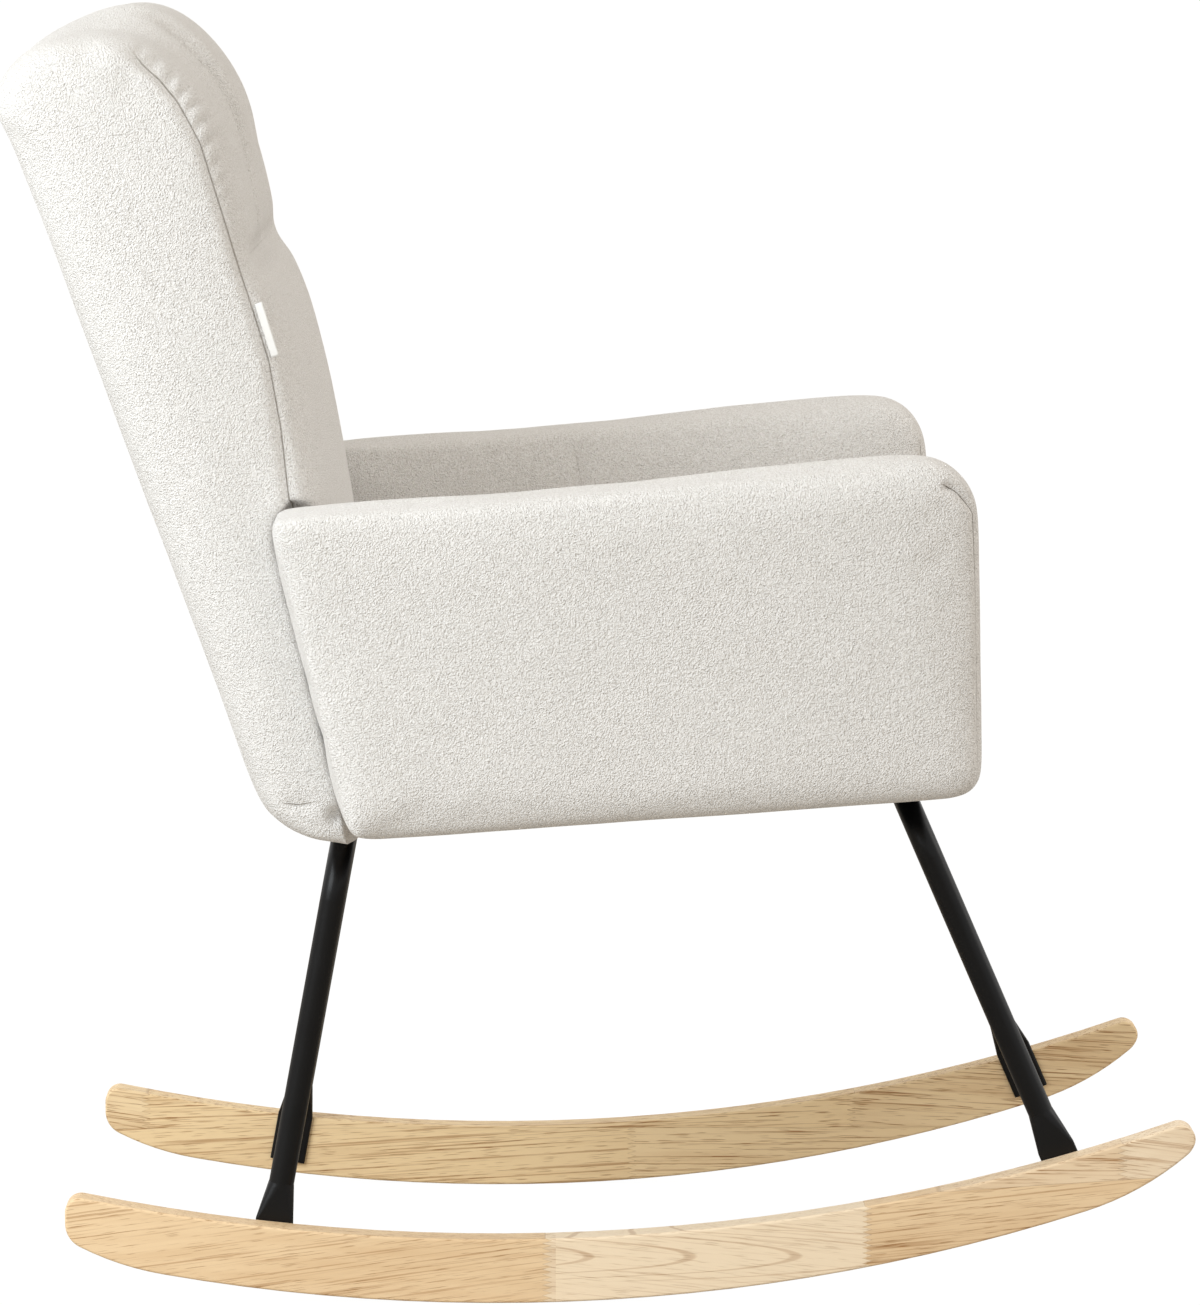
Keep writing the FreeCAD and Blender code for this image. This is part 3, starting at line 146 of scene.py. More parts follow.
rubberwood = Finish("varnished_rubberwood")
x, y, z = rubberwood.axes(rubberwood.place)
left_side = y > 0.0
right_side = 1.0 - left_side
joint_height, joint_slope, joint_end = 0.0935, 0.065, 0.393
single_strip_end, past_board, left_joint_drop = 0.2, 0.1, 0.046
right_joint = (x - joint_end) * joint_slope + (x < single_strip_end) * past_board
strip_joint = joint_height + right_joint * right_side - left_side * left_joint_drop
upper_strip = z > strip_joint
finger_half_pitch, finger_depth = 0.002, 0.007
fingers = z.math("PINGPONG", finger_half_pitch) * (finger_depth / finger_half_pitch)
blocks_on_right, blocks_below = 7.0, 3.0
block = left_side * blocks_on_right + upper_strip * blocks_below
glue_lines = 1.0 - abs(z - strip_joint).rise(0.0001, 0.0004)
for block_end, on_left, on_upper in (
    (-0.037, 0, 0),
    (0.204, 0, 0),
    (0.396, 0, 1),
    (0.034, 1, 0),
    (0.285, 1, 0),
    (-0.366, 1, 1),
    (0.215, 1, 1),
):
    in_strip = (left_side if on_left else right_side) * (upper_strip if on_upper else 1.0 - upper_strip)
    past_end = x + fingers - block_end
    block = block + (past_end > 0.0) * in_strip
    glue_lines = glue_lines + (1.0 - abs(past_end).rise(0.0002, 0.0006)) * in_strip
tone = rubberwood.node("TexWhiteNoise", {"noise_dimensions": "1D"}, {"W": block * 1.37 + 0.5})
steepest_grain = 0.28
slope_of_grain = x * (0.5 - tone) * steepest_grain
in_block = rubberwood.node(
    "CombineXYZ", {}, {"X": x + tone * 3.0, "Y": y + tone * 0.7, "Z": z + slope_of_grain + tone * 1.9}
)
bend_of_grain = rubberwood.speckle((2.6, 15.0, 15.0), 1.0, in_block)
rings_per_metre, heart_height, loop_length, loops_per_metre = 620.0, 0.043, 480.0, 80.0
ring_place = (z * 0.7 + y * 0.45 + bend_of_grain * 0.06) * rings_per_metre
growth_rings = (ring_place.math("SINE") * 0.5 + 0.5).rise(0.35, 1.0)
from_heart = z - heart_height + bend_of_grain * 0.012
loop_place = (x + from_heart * from_heart * loop_length + bend_of_grain * 0.05) * loops_per_metre
flat_sawn_start = -0.034
in_flat_sawn = (x > flat_sawn_start) * (x < single_strip_end) * right_side
loop_lines = (loop_place.math("SINE") * 0.5 + 0.5).rise(0.94, 1.0)
grain_loops = loop_lines * in_flat_sawn * (1.0 - abs(from_heart).rise(0.019, 0.023))
fibres = rubberwood.speckle((9.0, 520.0, 520.0), 3.0, in_block)
long_lines = rubberwood.speckle((7.0, 560.0, 560.0), 3.0, in_block).rise(0.53, 0.68)
pores = rubberwood.speckle((44.0, 1200.0, 1200.0), 1.0, in_block).rise(0.60, 0.72)
clouds = rubberwood.speckle((4.0, 46.0, 46.0), 3.0, in_block).rise(0.35, 0.68)
# The left rocker, the far one, has its own more orange tone, and is also painted lighter to make up for the
# shade it stands in: painted light.
pale_plank, warm_plank, left_tone_and_painted_light = paint(254, 234, 204), paint(246, 217, 176), paint(255, 226, 176)
soft_brown, line_brown, glue_brown = paint(198, 152, 98), paint(172, 124, 76), paint(160, 122, 82)
plank_colour = rubberwood.mix(tone.rise(0.1, 0.95), pale_plank, warm_plank)
side_colour = rubberwood.mix(left_side * 0.7, plank_colour, left_tone_and_painted_light)
lively = 1.0 + left_side * (0.25 + upper_strip * 0.35) - in_flat_sawn * 0.55
# Less soft grain on the left rocker paints it lighter still: painted light.
soft_grain = (growth_rings * 0.08 + fibres * 0.22 + clouds * 0.20) * lively - 0.14 - left_side * 0.16
dark_grain = (long_lines * 0.50 + pores * 0.50) * lively + grain_loops * 0.36
grain_colour = rubberwood.mix(soft_grain, side_colour, soft_brown)
lined_colour = rubberwood.mix(dark_grain, grain_colour, line_brown)
rubberwood.shade(
    {
        "Base Color": rubberwood.mix(glue_lines * 0.30, lined_colour, glue_brown),
        "Roughness": 0.48 + pores * 0.2 + fibres * 0.1,
        "Specular IOR Level": 0.3,
        "Normal": rubberwood.bump(1.0 - pores * 0.7 - glue_lines * 0.5 + fibres * 0.3, 0.0002),
    }
)
dress(rubberwood, "left_rocker", "right_rocker")


# Leg tubes and seat bars. Round steel tube bent to an upside-down U, with feet pressed flat, and two flat
# bars that join the tubes under the seat, all powder coated in satin black.

black_steel = Finish("satin_black_powder_coat")
orange_peel = black_steel.speckle((700.0, 700.0, 700.0), 2.0)
handling = black_steel.speckle((38.0, 38.0, 38.0), 3.0)
black_steel.shade(
    {
        "Base Color": black_steel.mix(handling, paint(11, 11, 12), paint(17, 17, 18)),
        "Roughness": 0.26 + handling * 0.12,
        "Specular IOR Level": 0.22,
        "Normal": black_steel.bump(orange_peel, 0.00006, 0.5),
    }
)
dress(black_steel, "rear_leg_tube", "front_leg_tube", "left_seat_bar", "right_seat_bar")


# Screws, bolts, washers, nuts and inserts. Bright zinc-plated steel, and brass-plated threaded inserts
# pressed into the rockers, turned on a lathe, so fine rings show on the heads.

zinc = Finish("bright_zinc_plating")
plating_cloud = zinc.speckle((160.0, 160.0, 160.0), 3.0)
plating_grit = zinc.speckle((1500.0, 1500.0, 1500.0), 1.0)
zinc.shade(
    {
        "Base Color": zinc.mix(plating_cloud, paint(186, 190, 198), paint(212, 212, 206)),
        "Roughness": 0.24 + plating_cloud * 0.22,
        "Metallic": 1.0,
        "Normal": zinc.bump(plating_grit, 0.00004, 0.6),
    }
)
dress(
    zinc,
    *("rocker_screws", "seat_bolts", "seat_washers", "seat_tee_nuts", "arm_bolts", "arm_tee_nuts"),
    *("back_bolts", "back_flange_nuts"),
)
brass = Finish("brass_plating")
brass_cloud = brass.speckle((180.0, 180.0, 180.0), 3.0)
brass.shade(
    {
        "Base Color": brass.mix(brass_cloud, paint(196, 158, 84), paint(222, 190, 118)),
        "Roughness": 0.25 + brass_cloud * 0.2,
        "Metallic": 1.0,
    }
)
dress(brass, "rocker_inserts")


# Wooden frame inside the upholstery. Planed softwood rails and stiles, plywood arm boards and a thin
# fibreboard panel behind the back, all raw, screwed and bolted together.

softwood = Finish("planed_softwood")
softwood_fibres = softwood.speckle((60.0, 60.0, 260.0), 3.0)
softwood_rings = softwood.speckle((12.0, 12.0, 70.0), 1.0).math("PINGPONG", 0.06) * 16.0
softwood.shade(
    {
        "Base Color": softwood.mix(
            softwood_rings * 0.45 + softwood_fibres * 0.3, paint(226, 196, 148), paint(188, 144, 92)
        ),
        "Roughness": 0.7 + softwood_fibres * 0.15,
        "Normal": softwood.bump(softwood_fibres, 0.0003),
    }
)
dress(
    softwood,
    *("seat_front_rail", "seat_rear_rail", "seat_left_rail", "seat_right_rail"),
    *("left_arm_board", "right_arm_board", "back_left_stile", "back_right_stile"),
    *("back_bottom_rail", "back_middle_rail", "back_top_rail"),
)
fibreboard = Finish("pressed_fibreboard")
chips = fibreboard.speckle((420.0, 420.0, 420.0), 4.0)
fibreboard.shade(
    {
        "Base Color": fibreboard.mix(chips, paint(122, 86, 54), paint(168, 126, 84)),
        "Roughness": 0.75 + chips * 0.15,
        "Normal": fibreboard.bump(chips, 0.0002),
    }
)
dress(fibreboard, "back_rear_panel")


# Webbing under the seat foam and in the back. Flat elastic straps of woven polypropylene and rubber,
# stapled to the frame under tension.

strap_weave = Finish("elastic_strap_weave")
strap_x, strap_y, strap_z = strap_weave.axes(strap_weave.place)
rib_half_pitch = 0.0011
ribs = (strap_x + strap_z).math("PINGPONG", rib_half_pitch) / rib_half_pitch
cross_ribs = strap_y.math("PINGPONG", rib_half_pitch) / rib_half_pitch
weave_height = ribs.math("MAXIMUM", cross_ribs)
strap_weave.shade(
    {
        "Base Color": strap_weave.mix(weave_height, paint(52, 50, 48), paint(96, 92, 86)),
        "Roughness": 0.8 + ribs * 0.1,
        "Normal": strap_weave.bump(weave_height, 0.0004),
    }
)
dress(strap_weave, "seat_long_webbing", "seat_cross_webbing", "back_webbing")


# Dust cover. A rectangle of thin black spunbonded cloth under the seat, drawn flat and stapled round the
# rails, resting on the steel bars and hanging a little between them.

seat_height, seat_tilt = 0.374, math.radians(4)
seat_to_chair = Matrix.Translation((0, 0, seat_height)) @ Matrix.Rotation(-seat_tilt, 4, "Y")


def new_piece(name, shape, finish):
    """Makes a piece of a bmesh. The soft pieces are shaped on the level seat, and tilted with it later."""
    bmesh.ops.recalc_face_normals(shape, faces=shape.faces)
    mesh = bpy.data.meshes.new(name)
    shape.to_mesh(mesh)
    shape.free()
    for face in mesh.polygons:
        face.use_smooth = True
    piece = bpy.data.objects.new(name, mesh)
    mesh.materials.append(finish.material)
    bpy.context.scene.collection.objects.link(piece)
    return piece


def apply_modifiers(piece):
    solved = piece.evaluated_get(bpy.context.evaluated_depsgraph_get())
    mesh = bpy.data.meshes.new_from_object(solved)
    piece.modifiers.clear()
    piece.data = mesh


cloth_half_width, cloth_rear, cloth_front = 0.2522, -0.1692, 0.2670
cloth_thickness, cloth_sag, bar_inner = 0.0005, 0.0022, 0.120
spunbond = Finish("black_spunbonded_cloth")
dots = spunbond.node("TexVoronoi", {"distance": "CHEBYCHEV"}, {"Vector": spunbond.place, "Scale": 700.0})
fluff = spunbond.speckle((260.0, 260.0, 260.0), 4.0)
spunbond.shade(
    {
        "Base Color": spunbond.mix(fluff, paint(24, 24, 25), paint(44, 44, 45)),
        "Roughness": 0.86 + fluff * 0.1,
        "Specular IOR Level": 0.2,
        "Normal": spunbond.bump(dots + fluff, 0.0003),
    }
)
shape = bmesh.new()
bmesh.ops.create_grid(shape, x_segments=44, y_segments=50, size=1.0)
half_length = (cloth_front - cloth_rear) / 2
for vert in shape.verts:
    along, across = vert.co.x, vert.co.y * cloth_half_width
    hang = max(0.0, 1 - (across / bar_inner) ** 2) * (1 - along**4)
    vert.co = (cloth_rear + half_length * (1 + along), across, 0.0002 - cloth_sag * hang)
bmesh.ops.solidify(shape, geom=shape.faces[:], thickness=-cloth_thickness)
shape.transform(seat_to_chair)
under_cloth = new_piece("under_cloth", shape, spunbond)
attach(under_cloth, "root")
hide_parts("dust_cover")


# Seat cushion. Foam over the straps, under a cover of off-white teddy fabric that is sewn with a seam
# along its front top edge and pulled down over the rails.

teddy = Finish("off_white_teddy_fabric")
pile_lean = teddy.speckle((22.0, 22.0, 22.0), 2.0)
pebbles = teddy.speckle((680.0, 680.0, 680.0), 1.0)
wander = teddy.node("TexNoise", {}, {"Vector": teddy.place, "Scale": 600.0, "Detail": 1.0}, "Color")
wander_reach = (0.0006, 0.0006, 0.0006)
curl_place = teddy.node(
    "VectorMath", {"operation": "MULTIPLY_ADD"}, {0: wander, 1: wander_reach, 2: teddy.place}
)
curls = teddy.node("TexVoronoi", {}, {"Vector": curl_place, "Scale": 950.0})
fuzz = teddy.speckle((1700.0, 1700.0, 1700.0), 1.0)
seam_axes = zip(
    teddy.axes(teddy.node("Attribute", {"attribute_name": "seam_distance"}, output="Vector")),
    teddy.axes(teddy.node("Attribute", {"attribute_name": "seam_shown"}, output="Vector")),
)
# Seams, creases, darts and tucks are painted as dark lines towards seam_shadow: painted shade in their
# grooves. The same lines also sink them through the bump.
seam_shade_lines = 0.0
for seam_distance, seam_shown in seam_axes:
    seam_shade_lines = seam_shade_lines + (1.0 - abs(seam_distance).rise(0.0002, 0.0009)) * seam_shown
between_curls = curls.rise(0.45, 1.0)
curl_height = pebbles * 1.6 - curls * curls * 0.8 + fuzz * 0.25
# The pile is painted darker in the hollows between its curls, where shade falls: painted shade, with a slow
# random tone from pile_lean.
hollows = (1.0 - pebbles).rise(0.34, 0.68)
hollow_shade_and_tone = hollows * 0.38 + between_curls * 0.20 + (1.0 - pile_lean) * 0.10 - 0.06
pile_tips, pile_in_painted_shade, seam_shadow = paint(252, 251, 250), paint(206, 201, 194), paint(124, 106, 82)
pile_colour = teddy.mix(hollow_shade_and_tone, pile_tips, pile_in_painted_shade)
teddy.shade(
    {
        "Base Color": teddy.mix(seam_shade_lines * 0.55, pile_colour, seam_shadow),
        "Roughness": 0.9 + fuzz * 0.1,
        "Specular IOR Level": 0.1,
        "Sheen Weight": 0.12,
        "Sheen Roughness": 0.5,
        "Normal": teddy.bump(curl_height - seam_shade_lines * 1.5, 0.0012, 0.9),
    }
)


def read_points(piece, what="co"):
    values = np.empty(len(piece.data.vertices) * 3, np.float32)
    piece.data.vertices.foreach_get(what, values)
    return values.reshape(-1, 3).astype(float)


def move_points(piece, points):
    piece.data.vertices.foreach_set("co", points.astype(np.float32).ravel())
    piece.data.update()


def cut_cover(piece, grid, slack):
    """Makes a block a cover of even small faces, taken in by the slack that its filling takes up again."""
    remesh = piece.modifiers.new("cover", "REMESH")
    remesh.mode, remesh.voxel_size = "VOXEL", grid
    ease = piece.modifiers.new("ease", "SMOOTH")
    ease.factor, ease.iterations = 0.5, 5
    apply_modifiers(piece)
    move_points(piece, read_points(piece) - slack * read_points(piece, "normal"))


def fill_cover(piece, stitched, most):
    """Fills a cover under pressure. It stays where stitched is 1, and moves by most at the furthest."""
    filling_frames, filling_pressure = 20, 4.0
    start = read_points(piece)
    stitches = piece.vertex_groups.new(name="stitches")
    for index in np.flatnonzero(stitched > 0.02):
        stitches.add([int(index)], float(stitched[index]), "REPLACE")
    filling = piece.modifiers.new("filling", "CLOTH")
    filling.settings.use_pressure = True
    filling.settings.uniform_pressure_force = filling_pressure
    filling.settings.effector_weights.gravity = 0.0
    filling.settings.vertex_group_mass = "stitches"
    for number in range(1, filling_frames + 1):
        bpy.context.scene.frame_set(number)
    apply_modifiers(piece)
    bpy.context.scene.frame_set(1)
    move = read_points(piece) - start
    length = np.maximum(np.linalg.norm(move, axis=1, keepdims=True), 1e-9)
    move_points(piece, start + move * most * np.tanh(length / most) / length)
    piece.vertex_groups.clear()
    ease = piece.modifiers.new("ease", "SMOOTH")
    ease.factor, ease.iterations = 0.5, 9
    finer = piece.modifiers.new("finer", "SUBSURF")
    finer.levels = finer.render_levels = 1
    apply_modifiers(piece)


def near(distance, width):
    """1 on a line, fading to 0 at about twice the width from it."""
    return np.exp(-((distance / width) ** 2))


def step(values, low, high):
    """0 below low, 1 above high, and a smooth step between them."""
    share = np.clip((values - low) / (high - low), 0, 1)
    return share * share * (3 - 2 * share)


def waves(points, size, seed):
    """Slow unevenness of a hand-filled cover, about -1 to 1, with swells of the given size."""
    return np.array([noise.noise(Vector(point) / size + Vector((seed, 0, 0))) for point in points])


def mark_seams(piece, seams):
    """Gives the cover's material the distance from up to three seams, and where each of them shows as painted
    shade.
    """
    seams = seams + [(np.ones(len(piece.data.vertices)), 0.0)] * (3 - len(seams))
    for name, kept in (("seam_distance", 0), ("seam_shown", 1)):
        layer = piece.data.attributes.new(name, "FLOAT_VECTOR", "POINT")
        rows = np.stack([np.broadcast_to(seam[kept], len(piece.data.vertices)) for seam in seams], axis=1)
        layer.data.foreach_set("vector", rows.astype(np.float32).ravel())


def upholster(piece, fill, *names):
    """Tilts a finished cover with the seat, and lets it stand for the foam and cover of the CAD model."""
    piece.data.transform(seat_to_chair)
    for face in piece.data.polygons:
        face.use_smooth = True
    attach(piece, "root")
    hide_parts(*names)


seat_half_width, seat_rear, seat_front, seat_bottom, seat_top = 0.2535, -0.1705, 0.2785, 0.0012, 0.1170
seat_seam_height, seat_front_bevel, seat_side_limit = 0.096, 0.034, 0.2542
seat_grid, seat_slack, seat_swell = 0.006, 0.0035, 0.012
crown_height, lip_drop, seat_seam_depth = 0.007, 0.0052, 0.0028
shape = bmesh.new()
bmesh.ops.create_cube(shape, size=1.0)
seat_size = (seat_front - seat_rear, 2 * seat_half_width, seat_top - seat_bottom)
seat_middle = ((seat_front + seat_rear) / 2, 0, (seat_top + seat_bottom) / 2)
bmesh.ops.scale(shape, verts=shape.verts, vec=seat_size)
bmesh.ops.translate(shape, verts=shape.verts, vec=seat_middle)
front_edges = [e for e in shape.edges if all(v.co.x > 0.2 for v in e.verts) and e.calc_length() > 0.3]
front_top = [e for e in front_edges if e.verts[0].co.z > 0.05]
bmesh.ops.bevel(
    shape, geom=front_top, offset=seat_front_bevel, segments=6, profile=0.5, affect="EDGES", material=-1
)
seat_cushion = new_piece("seat_cushion", shape, teddy)
cut_cover(seat_cushion, seat_grid, seat_slack)
x, y, z = read_points(seat_cushion).T
held = np.maximum(step(-z, -0.02, -0.006), near(z - seat_seam_height, 0.006) * step(x, 0.2, 0.24))
fill_cover(seat_cushion, np.maximum(held, step(-x, 0.13, 0.15)), seat_swell)
points, normals = read_points(seat_cushion), read_points(seat_cushion, "normal")
x, y, z = points.T
seam = z - seat_seam_height - 0.002 * np.cos(y * 12)
seam_shown = step(x, 0.235, 0.262)
crown = crown_height * (1 - (y / seat_half_width) ** 2) * (1 - ((x - 0.05) / 0.24) ** 2)
front_lip = lip_drop * step(x, 0.267, 0.274) * (1 - step(z, 0.010, 0.030))
points[:, 2] += np.clip(crown, 0, 1) * step(z, 0.07, 0.105) - front_lip
seam_sunk = seat_seam_depth * seam_shown * near(seam, 0.005)
points -= normals * (seam_sunk - 0.0006 * waves(points, 0.05, 3))[:, None]
points[:, 1] = np.clip(points[:, 1], -seat_side_limit, seat_side_limit)
move_points(seat_cushion, points)
mark_seams(seat_cushion, [(seam, seam_shown)])
upholster(seat_cushion, 0.7, "seat_foam", "seat_cover")


# Arms. A board padded with foam on all sides, in a tight cover of the same fabric. One panel runs up the
# outside and over the top, a strip closes the front and ends in a dart at the top corner on each side,
# and the inside has an upright seam halfway along.

arm_corners = ((-0.189, 0.0), (0.283, 0.0), (0.295, 0.258), (-0.232, 0.250))
arm_inner, arm_thickness = 0.257, 0.100
arm_middle = arm_inner + arm_thickness / 2


def arm_block(inner, thickness, corner_radii, roundings=()):
    """The right arm as a block: its outline with round corners, given its thickness, and its rims rounded.

    The rims along its rear have a rounding of their own, because they lie against the back."""
    shape = bmesh.new()
    outline = [shape.verts.new((x, -inner, z)) for x, z in arm_corners]
    shape.faces.new(outline)
    for corner, radius in zip(outline, corner_radii):
        bmesh.ops.bevel(
            shape, geom=[corner], offset=radius, segments=8, profile=0.5, affect="VERTICES", material=-1
        )
    lifted = bmesh.ops.extrude_face_region(shape, geom=shape.faces[:])["geom"]
    outer = [vert for vert in lifted if isinstance(vert, bmesh.types.BMVert)]
    bmesh.ops.translate(shape, verts=outer, vec=(0, -thickness, 0))
    bmesh.ops.recalc_face_normals(shape, faces=shape.faces)
    for rounding, front_limit in zip(roundings, (-0.18, 1.0)):
        rims = [
            edge
            for edge in shape.edges
            if abs(edge.verts[0].co.y - edge.verts[1].co.y) < 1e-6
            and edge.calc_face_angle(0) > 1.2
            and all(vert.co.x < front_limit for vert in edge.verts)
        ]
        bmesh.ops.bevel(
            shape, geom=rims, offset=rounding, segments=6, profile=0.5, affect="EDGES", material=-1
        )
    return shape


def past_arm(x, z):
    """How far a point seen from the side lies outside the arm's outline. Inside it is less than 0."""
    sides = []
    for (x1, z1), (x2, z2) in zip(arm_corners, arm_corners[1:] + arm_corners[:1]):
        length = math.hypot(x2 - x1, z2 - z1)
        sides.append(((x - x1) * (z2 - z1) - (z - z1) * (x2 - x1)) / length)
    return np.max(sides, axis=0)


arm_radii, arm_roundings = (0.018, 0.024, 0.046, 0.011), (0.009, 0.022)
arm_grid, arm_slack, arm_swell = 0.0055, 0.003, 0.0028
arm_outer_limit, arm_inner_limit = 0.3585, 0.2560
right_arm = new_piece("right_arm", arm_block(arm_inner, arm_thickness, arm_radii, arm_roundings), teddy)
cut_cover(right_arm, arm_grid, arm_slack)


def arm_seams(points):
    """The arm's three seams: the front strip's outer and inner seam with their darts, and the inside seam."""
    x, y, z = points.T
    outward = -y - arm_middle
    corner_x, corner_z, corner_radius = 0.2475, 0.2115, 0.046
    across, above = x - corner_x, z - corner_z
    turn = np.degrees(np.arctan2(above, np.maximum(across, 1e-6)))
    round_corner = corner_radius - np.hypot(across, above)
    inset = np.where((across > 0) & (above > 0), round_corner, -past_arm(x, z))
    turn = np.clip(np.where(above > 0, turn, 0), 0, 90)
    seam_place = 0.041 + 0.0035 * step(z, 0.16, 0.212) + 0.0165 * turn / 58
    shown = step(x, 0.235, 0.25) * step(z, 0.012, 0.03) * (1 - step(turn, 50, 60))
    outer = (np.abs(outward) + inset - seam_place, shown * (outward > 0.015))
    inner = (outer[0], shown * (outward < -0.015) * (1 - step(turn, 0, 12)))
    inside = (x - 0.001 + 0.12 * (z - 0.225), step(-outward, 0.040, 0.049) * (1 - step(z, 0.225, 0.245)))
    return [outer, inner, inside], turn


seams, turn = arm_seams(read_points(right_arm))
x, y, z = read_points(right_arm).T
held = np.maximum.reduce([near(distance, 0.006) * shown for distance, shown in seams[:2]])
held = np.maximum(held, step(-z, -0.012, -0.004))
held = np.maximum(held, step(y, -0.275, -0.262) * (1 - step(z, 0.1, 0.14)))
fill_cover(right_arm, held, arm_swell)
points, normals = read_points(right_arm), read_points(right_arm, "normal")
seams, turn = arm_seams(points)
depths = 0.0016 + 0.0034 * step(turn, 2, 22) * (1 - step(turn, 44, 60))
for (distance, shown), depth in zip(seams, (depths, depths, 0.0016)):
    points -= normals * (depth * shown * near(distance, 0.0055))[:, None]
points += normals * (0.0003 * waves(points, 0.045, 11) + 0.0008 * waves(points, 0.16, 5))[:, None]
points[:, 1] = np.clip(points[:, 1], -arm_outer_limit, -arm_inner_limit)
move_points(right_arm, points)
# How dark each seam's painted shade line is drawn; the inside seam's line paints the shade of its small step.
strip_drawn, inside_drawn = 0.45 + 0.55 * step(points[:, 2], 0.14, 0.2), 0.3
shares = (strip_drawn, strip_drawn, inside_drawn)
mark_seams(right_arm, [(distance, shown * share) for (distance, shown), share in zip(seams, shares)])
left_shape = bmesh.new()
left_shape.from_mesh(right_arm.data)
bmesh.ops.scale(left_shape, verts=left_shape.verts, vec=(1, -1, 1))
left_arm = new_piece("left_arm", left_shape, teddy)
upholster(right_arm, 0.8, "right_arm_cover", "right_arm_foam")
upholster(left_arm, 0.8, "left_arm_cover", "left_arm_foam")


# Back. A wooden frame padded front and rear in one cover. The front pad is drawn in along one level
# crease and two upright ones, so a head roll of three columns stands over a lumbar roll. The pad is
# joined to the side panels by a seam that runs up each side and over the top.

back_heel, back_lean = -0.251, math.radians(15.6)
lean_cos, lean_sin = math.cos(back_lean), math.sin(back_lean)
back_half_width = 0.285
crease_height, crease_side = 0.408, 0.095
front_taper, rear_taper = 0.062, 0.036
arm_overlap = 0.005
back_grid, back_slack, back_swell = 0.0055, 0.0035, 0.008
corner_drop = 0.012
level_depth, upright_depth, pad_seam_depth, rear_seam_depth = 0.013, 0.012, 0.0035, 0.0018
gather_depth, gathers_per_metre, gather_slant = 0.0024, 235, 150
pinch_x, pinch_z, pinch_size, pinch_depth = -0.1965, 0.0155, 0.0055, 0.009

# The middle of the back from the side, as places forward from the rear face and up along it.
middle_profile = (
    *((0.077, -0.020), (0.045, -0.011), (0.027, -0.006), (0.009, 0.007), (0.001, 0.034)),
    *((0.001, 0.150), (0.000, 0.300), (-0.001, 0.450), (-0.003, 0.540), (-0.007, 0.580)),
    *((0.006, 0.605), (0.027, 0.616), (0.055, 0.621), (0.086, 0.622), (0.108, 0.619)),
    *((0.129, 0.606), (0.144, 0.588), (0.154, 0.568), (0.161, 0.545), (0.164, 0.518)),
    *((0.158, 0.480), (0.149, 0.432), (0.144, 0.408), (0.150, 0.384), (0.149, 0.350)),
    *((0.143, 0.285), (0.133, 0.221), (0.120, 0.150), (0.108, 0.090), (0.092, 0.035)),
)
# The seam between the pad and a side panel, up the back and forward of the rear face.
seam_heights = (0.0, 0.18, 0.235, 0.283, 0.333, 0.428, 0.500, 0.536, 0.556, 0.580, 0.600, 0.630)
seam_places = (0.08, 0.097, 0.106, 0.118, 0.127, 0.131, 0.134, 0.129, 0.122, 0.109, 0.100, 0.094)


def seam_place_at(height):
    return np.interp(height, seam_heights, seam_places)


def along_loop(loop, share):
    """The point a share of the way round a closed loop, on a smooth curve through its points."""
    first, past = divmod(share * len(loop), 1.0)
    a, b, c, d = (Vector(loop[(int(first) + k) % len(loop)]) for k in (-1, 0, 1, 2))
    return b + 0.5 * past * ((c - a) + past * ((2 * a - 5 * b + 4 * c - d) + past * (3 * (b - c) + d - a)))


def rounded_off(side, width):
    """0 in the middle of the back, rising in a quarter round to 1 at its side."""
    inward = min(1.0, max(0.0, (side - back_half_width + width) / width))
    return 1 - math.sqrt(1 - inward * inward)


def back_point(side, share):
    """The back's section at a distance from its middle, as a point on the level seat."""
    depth, height = along_loop(middle_profile, share)
    pad_share = min(1.0, max(0.0, (depth - 0.045) / 0.05))
    front_turn, rear_turn = rounded_off(side, front_taper), rounded_off(side, rear_taper)
    seam_depth = float(seam_place_at(height))
    outer_column = float(step(side, 0.075, 0.135))
    depth -= pad_share * outer_column * 0.014 * float(step(height, 0.41, 0.58))
    pulled = (seam_depth - depth) if height > 0.1 else -0.01
    depth += pad_share * min(0.0, pulled) * front_turn + (1 - pad_share) * 0.026 * rear_turn
    depth -= pad_share * 0.004 * (side / back_half_width) ** 2
    top_share = max(0.0, (height - 0.5) / 0.122)
    height -= top_share * (0.020 * front_turn + 0.016 * outer_column * (0.4 + 0.6 * pad_share))
    return (
        back_heel + depth * lean_cos - height * lean_sin,
        depth * lean_sin + height * lean_cos,
    )


shape = bmesh.new()
share_layer = shape.verts.layers.float.new("share")
ring = bmesh.ops.create_circle(shape, segments=150, radius=0.1)["verts"]
for index, vert in enumerate(ring):
    vert[share_layer] = index / len(ring)
tapers = [1 - front_taper * (1 - k) / back_half_width for k in (0, 0.2, 0.4, 0.58, 0.72, 0.84, 0.93, 0.98, 1)]
stations = [-s * back_half_width for s in reversed(tapers)]
stations += [-0.15, -0.075, 0.0, 0.075, 0.15] + [s * back_half_width for s in tapers]
rim = list(shape.edges)
for number, station in enumerate(stations):
    if number:
        grown = bmesh.ops.extrude_edge_only(shape, edges=rim)["geom"]
        rim = [item for item in grown if isinstance(item, bmesh.types.BMEdge)]
        rim = [edge for edge in rim if len(edge.link_faces) == 1]
        ring = {vert for edge in rim for vert in edge.verts}
    for vert in ring:
        across, up = back_point(abs(station), vert[share_layer])
        vert.co = (across, station, up)
bmesh.ops.holes_fill(shape, edges=shape.edges, sides=0)
back_rest = new_piece("back_rest", shape, teddy)
arm_room = new_piece("arm_room", arm_block(0.2555, 0.12, (0.012, 0.012, 0.02, 0.02)), teddy)
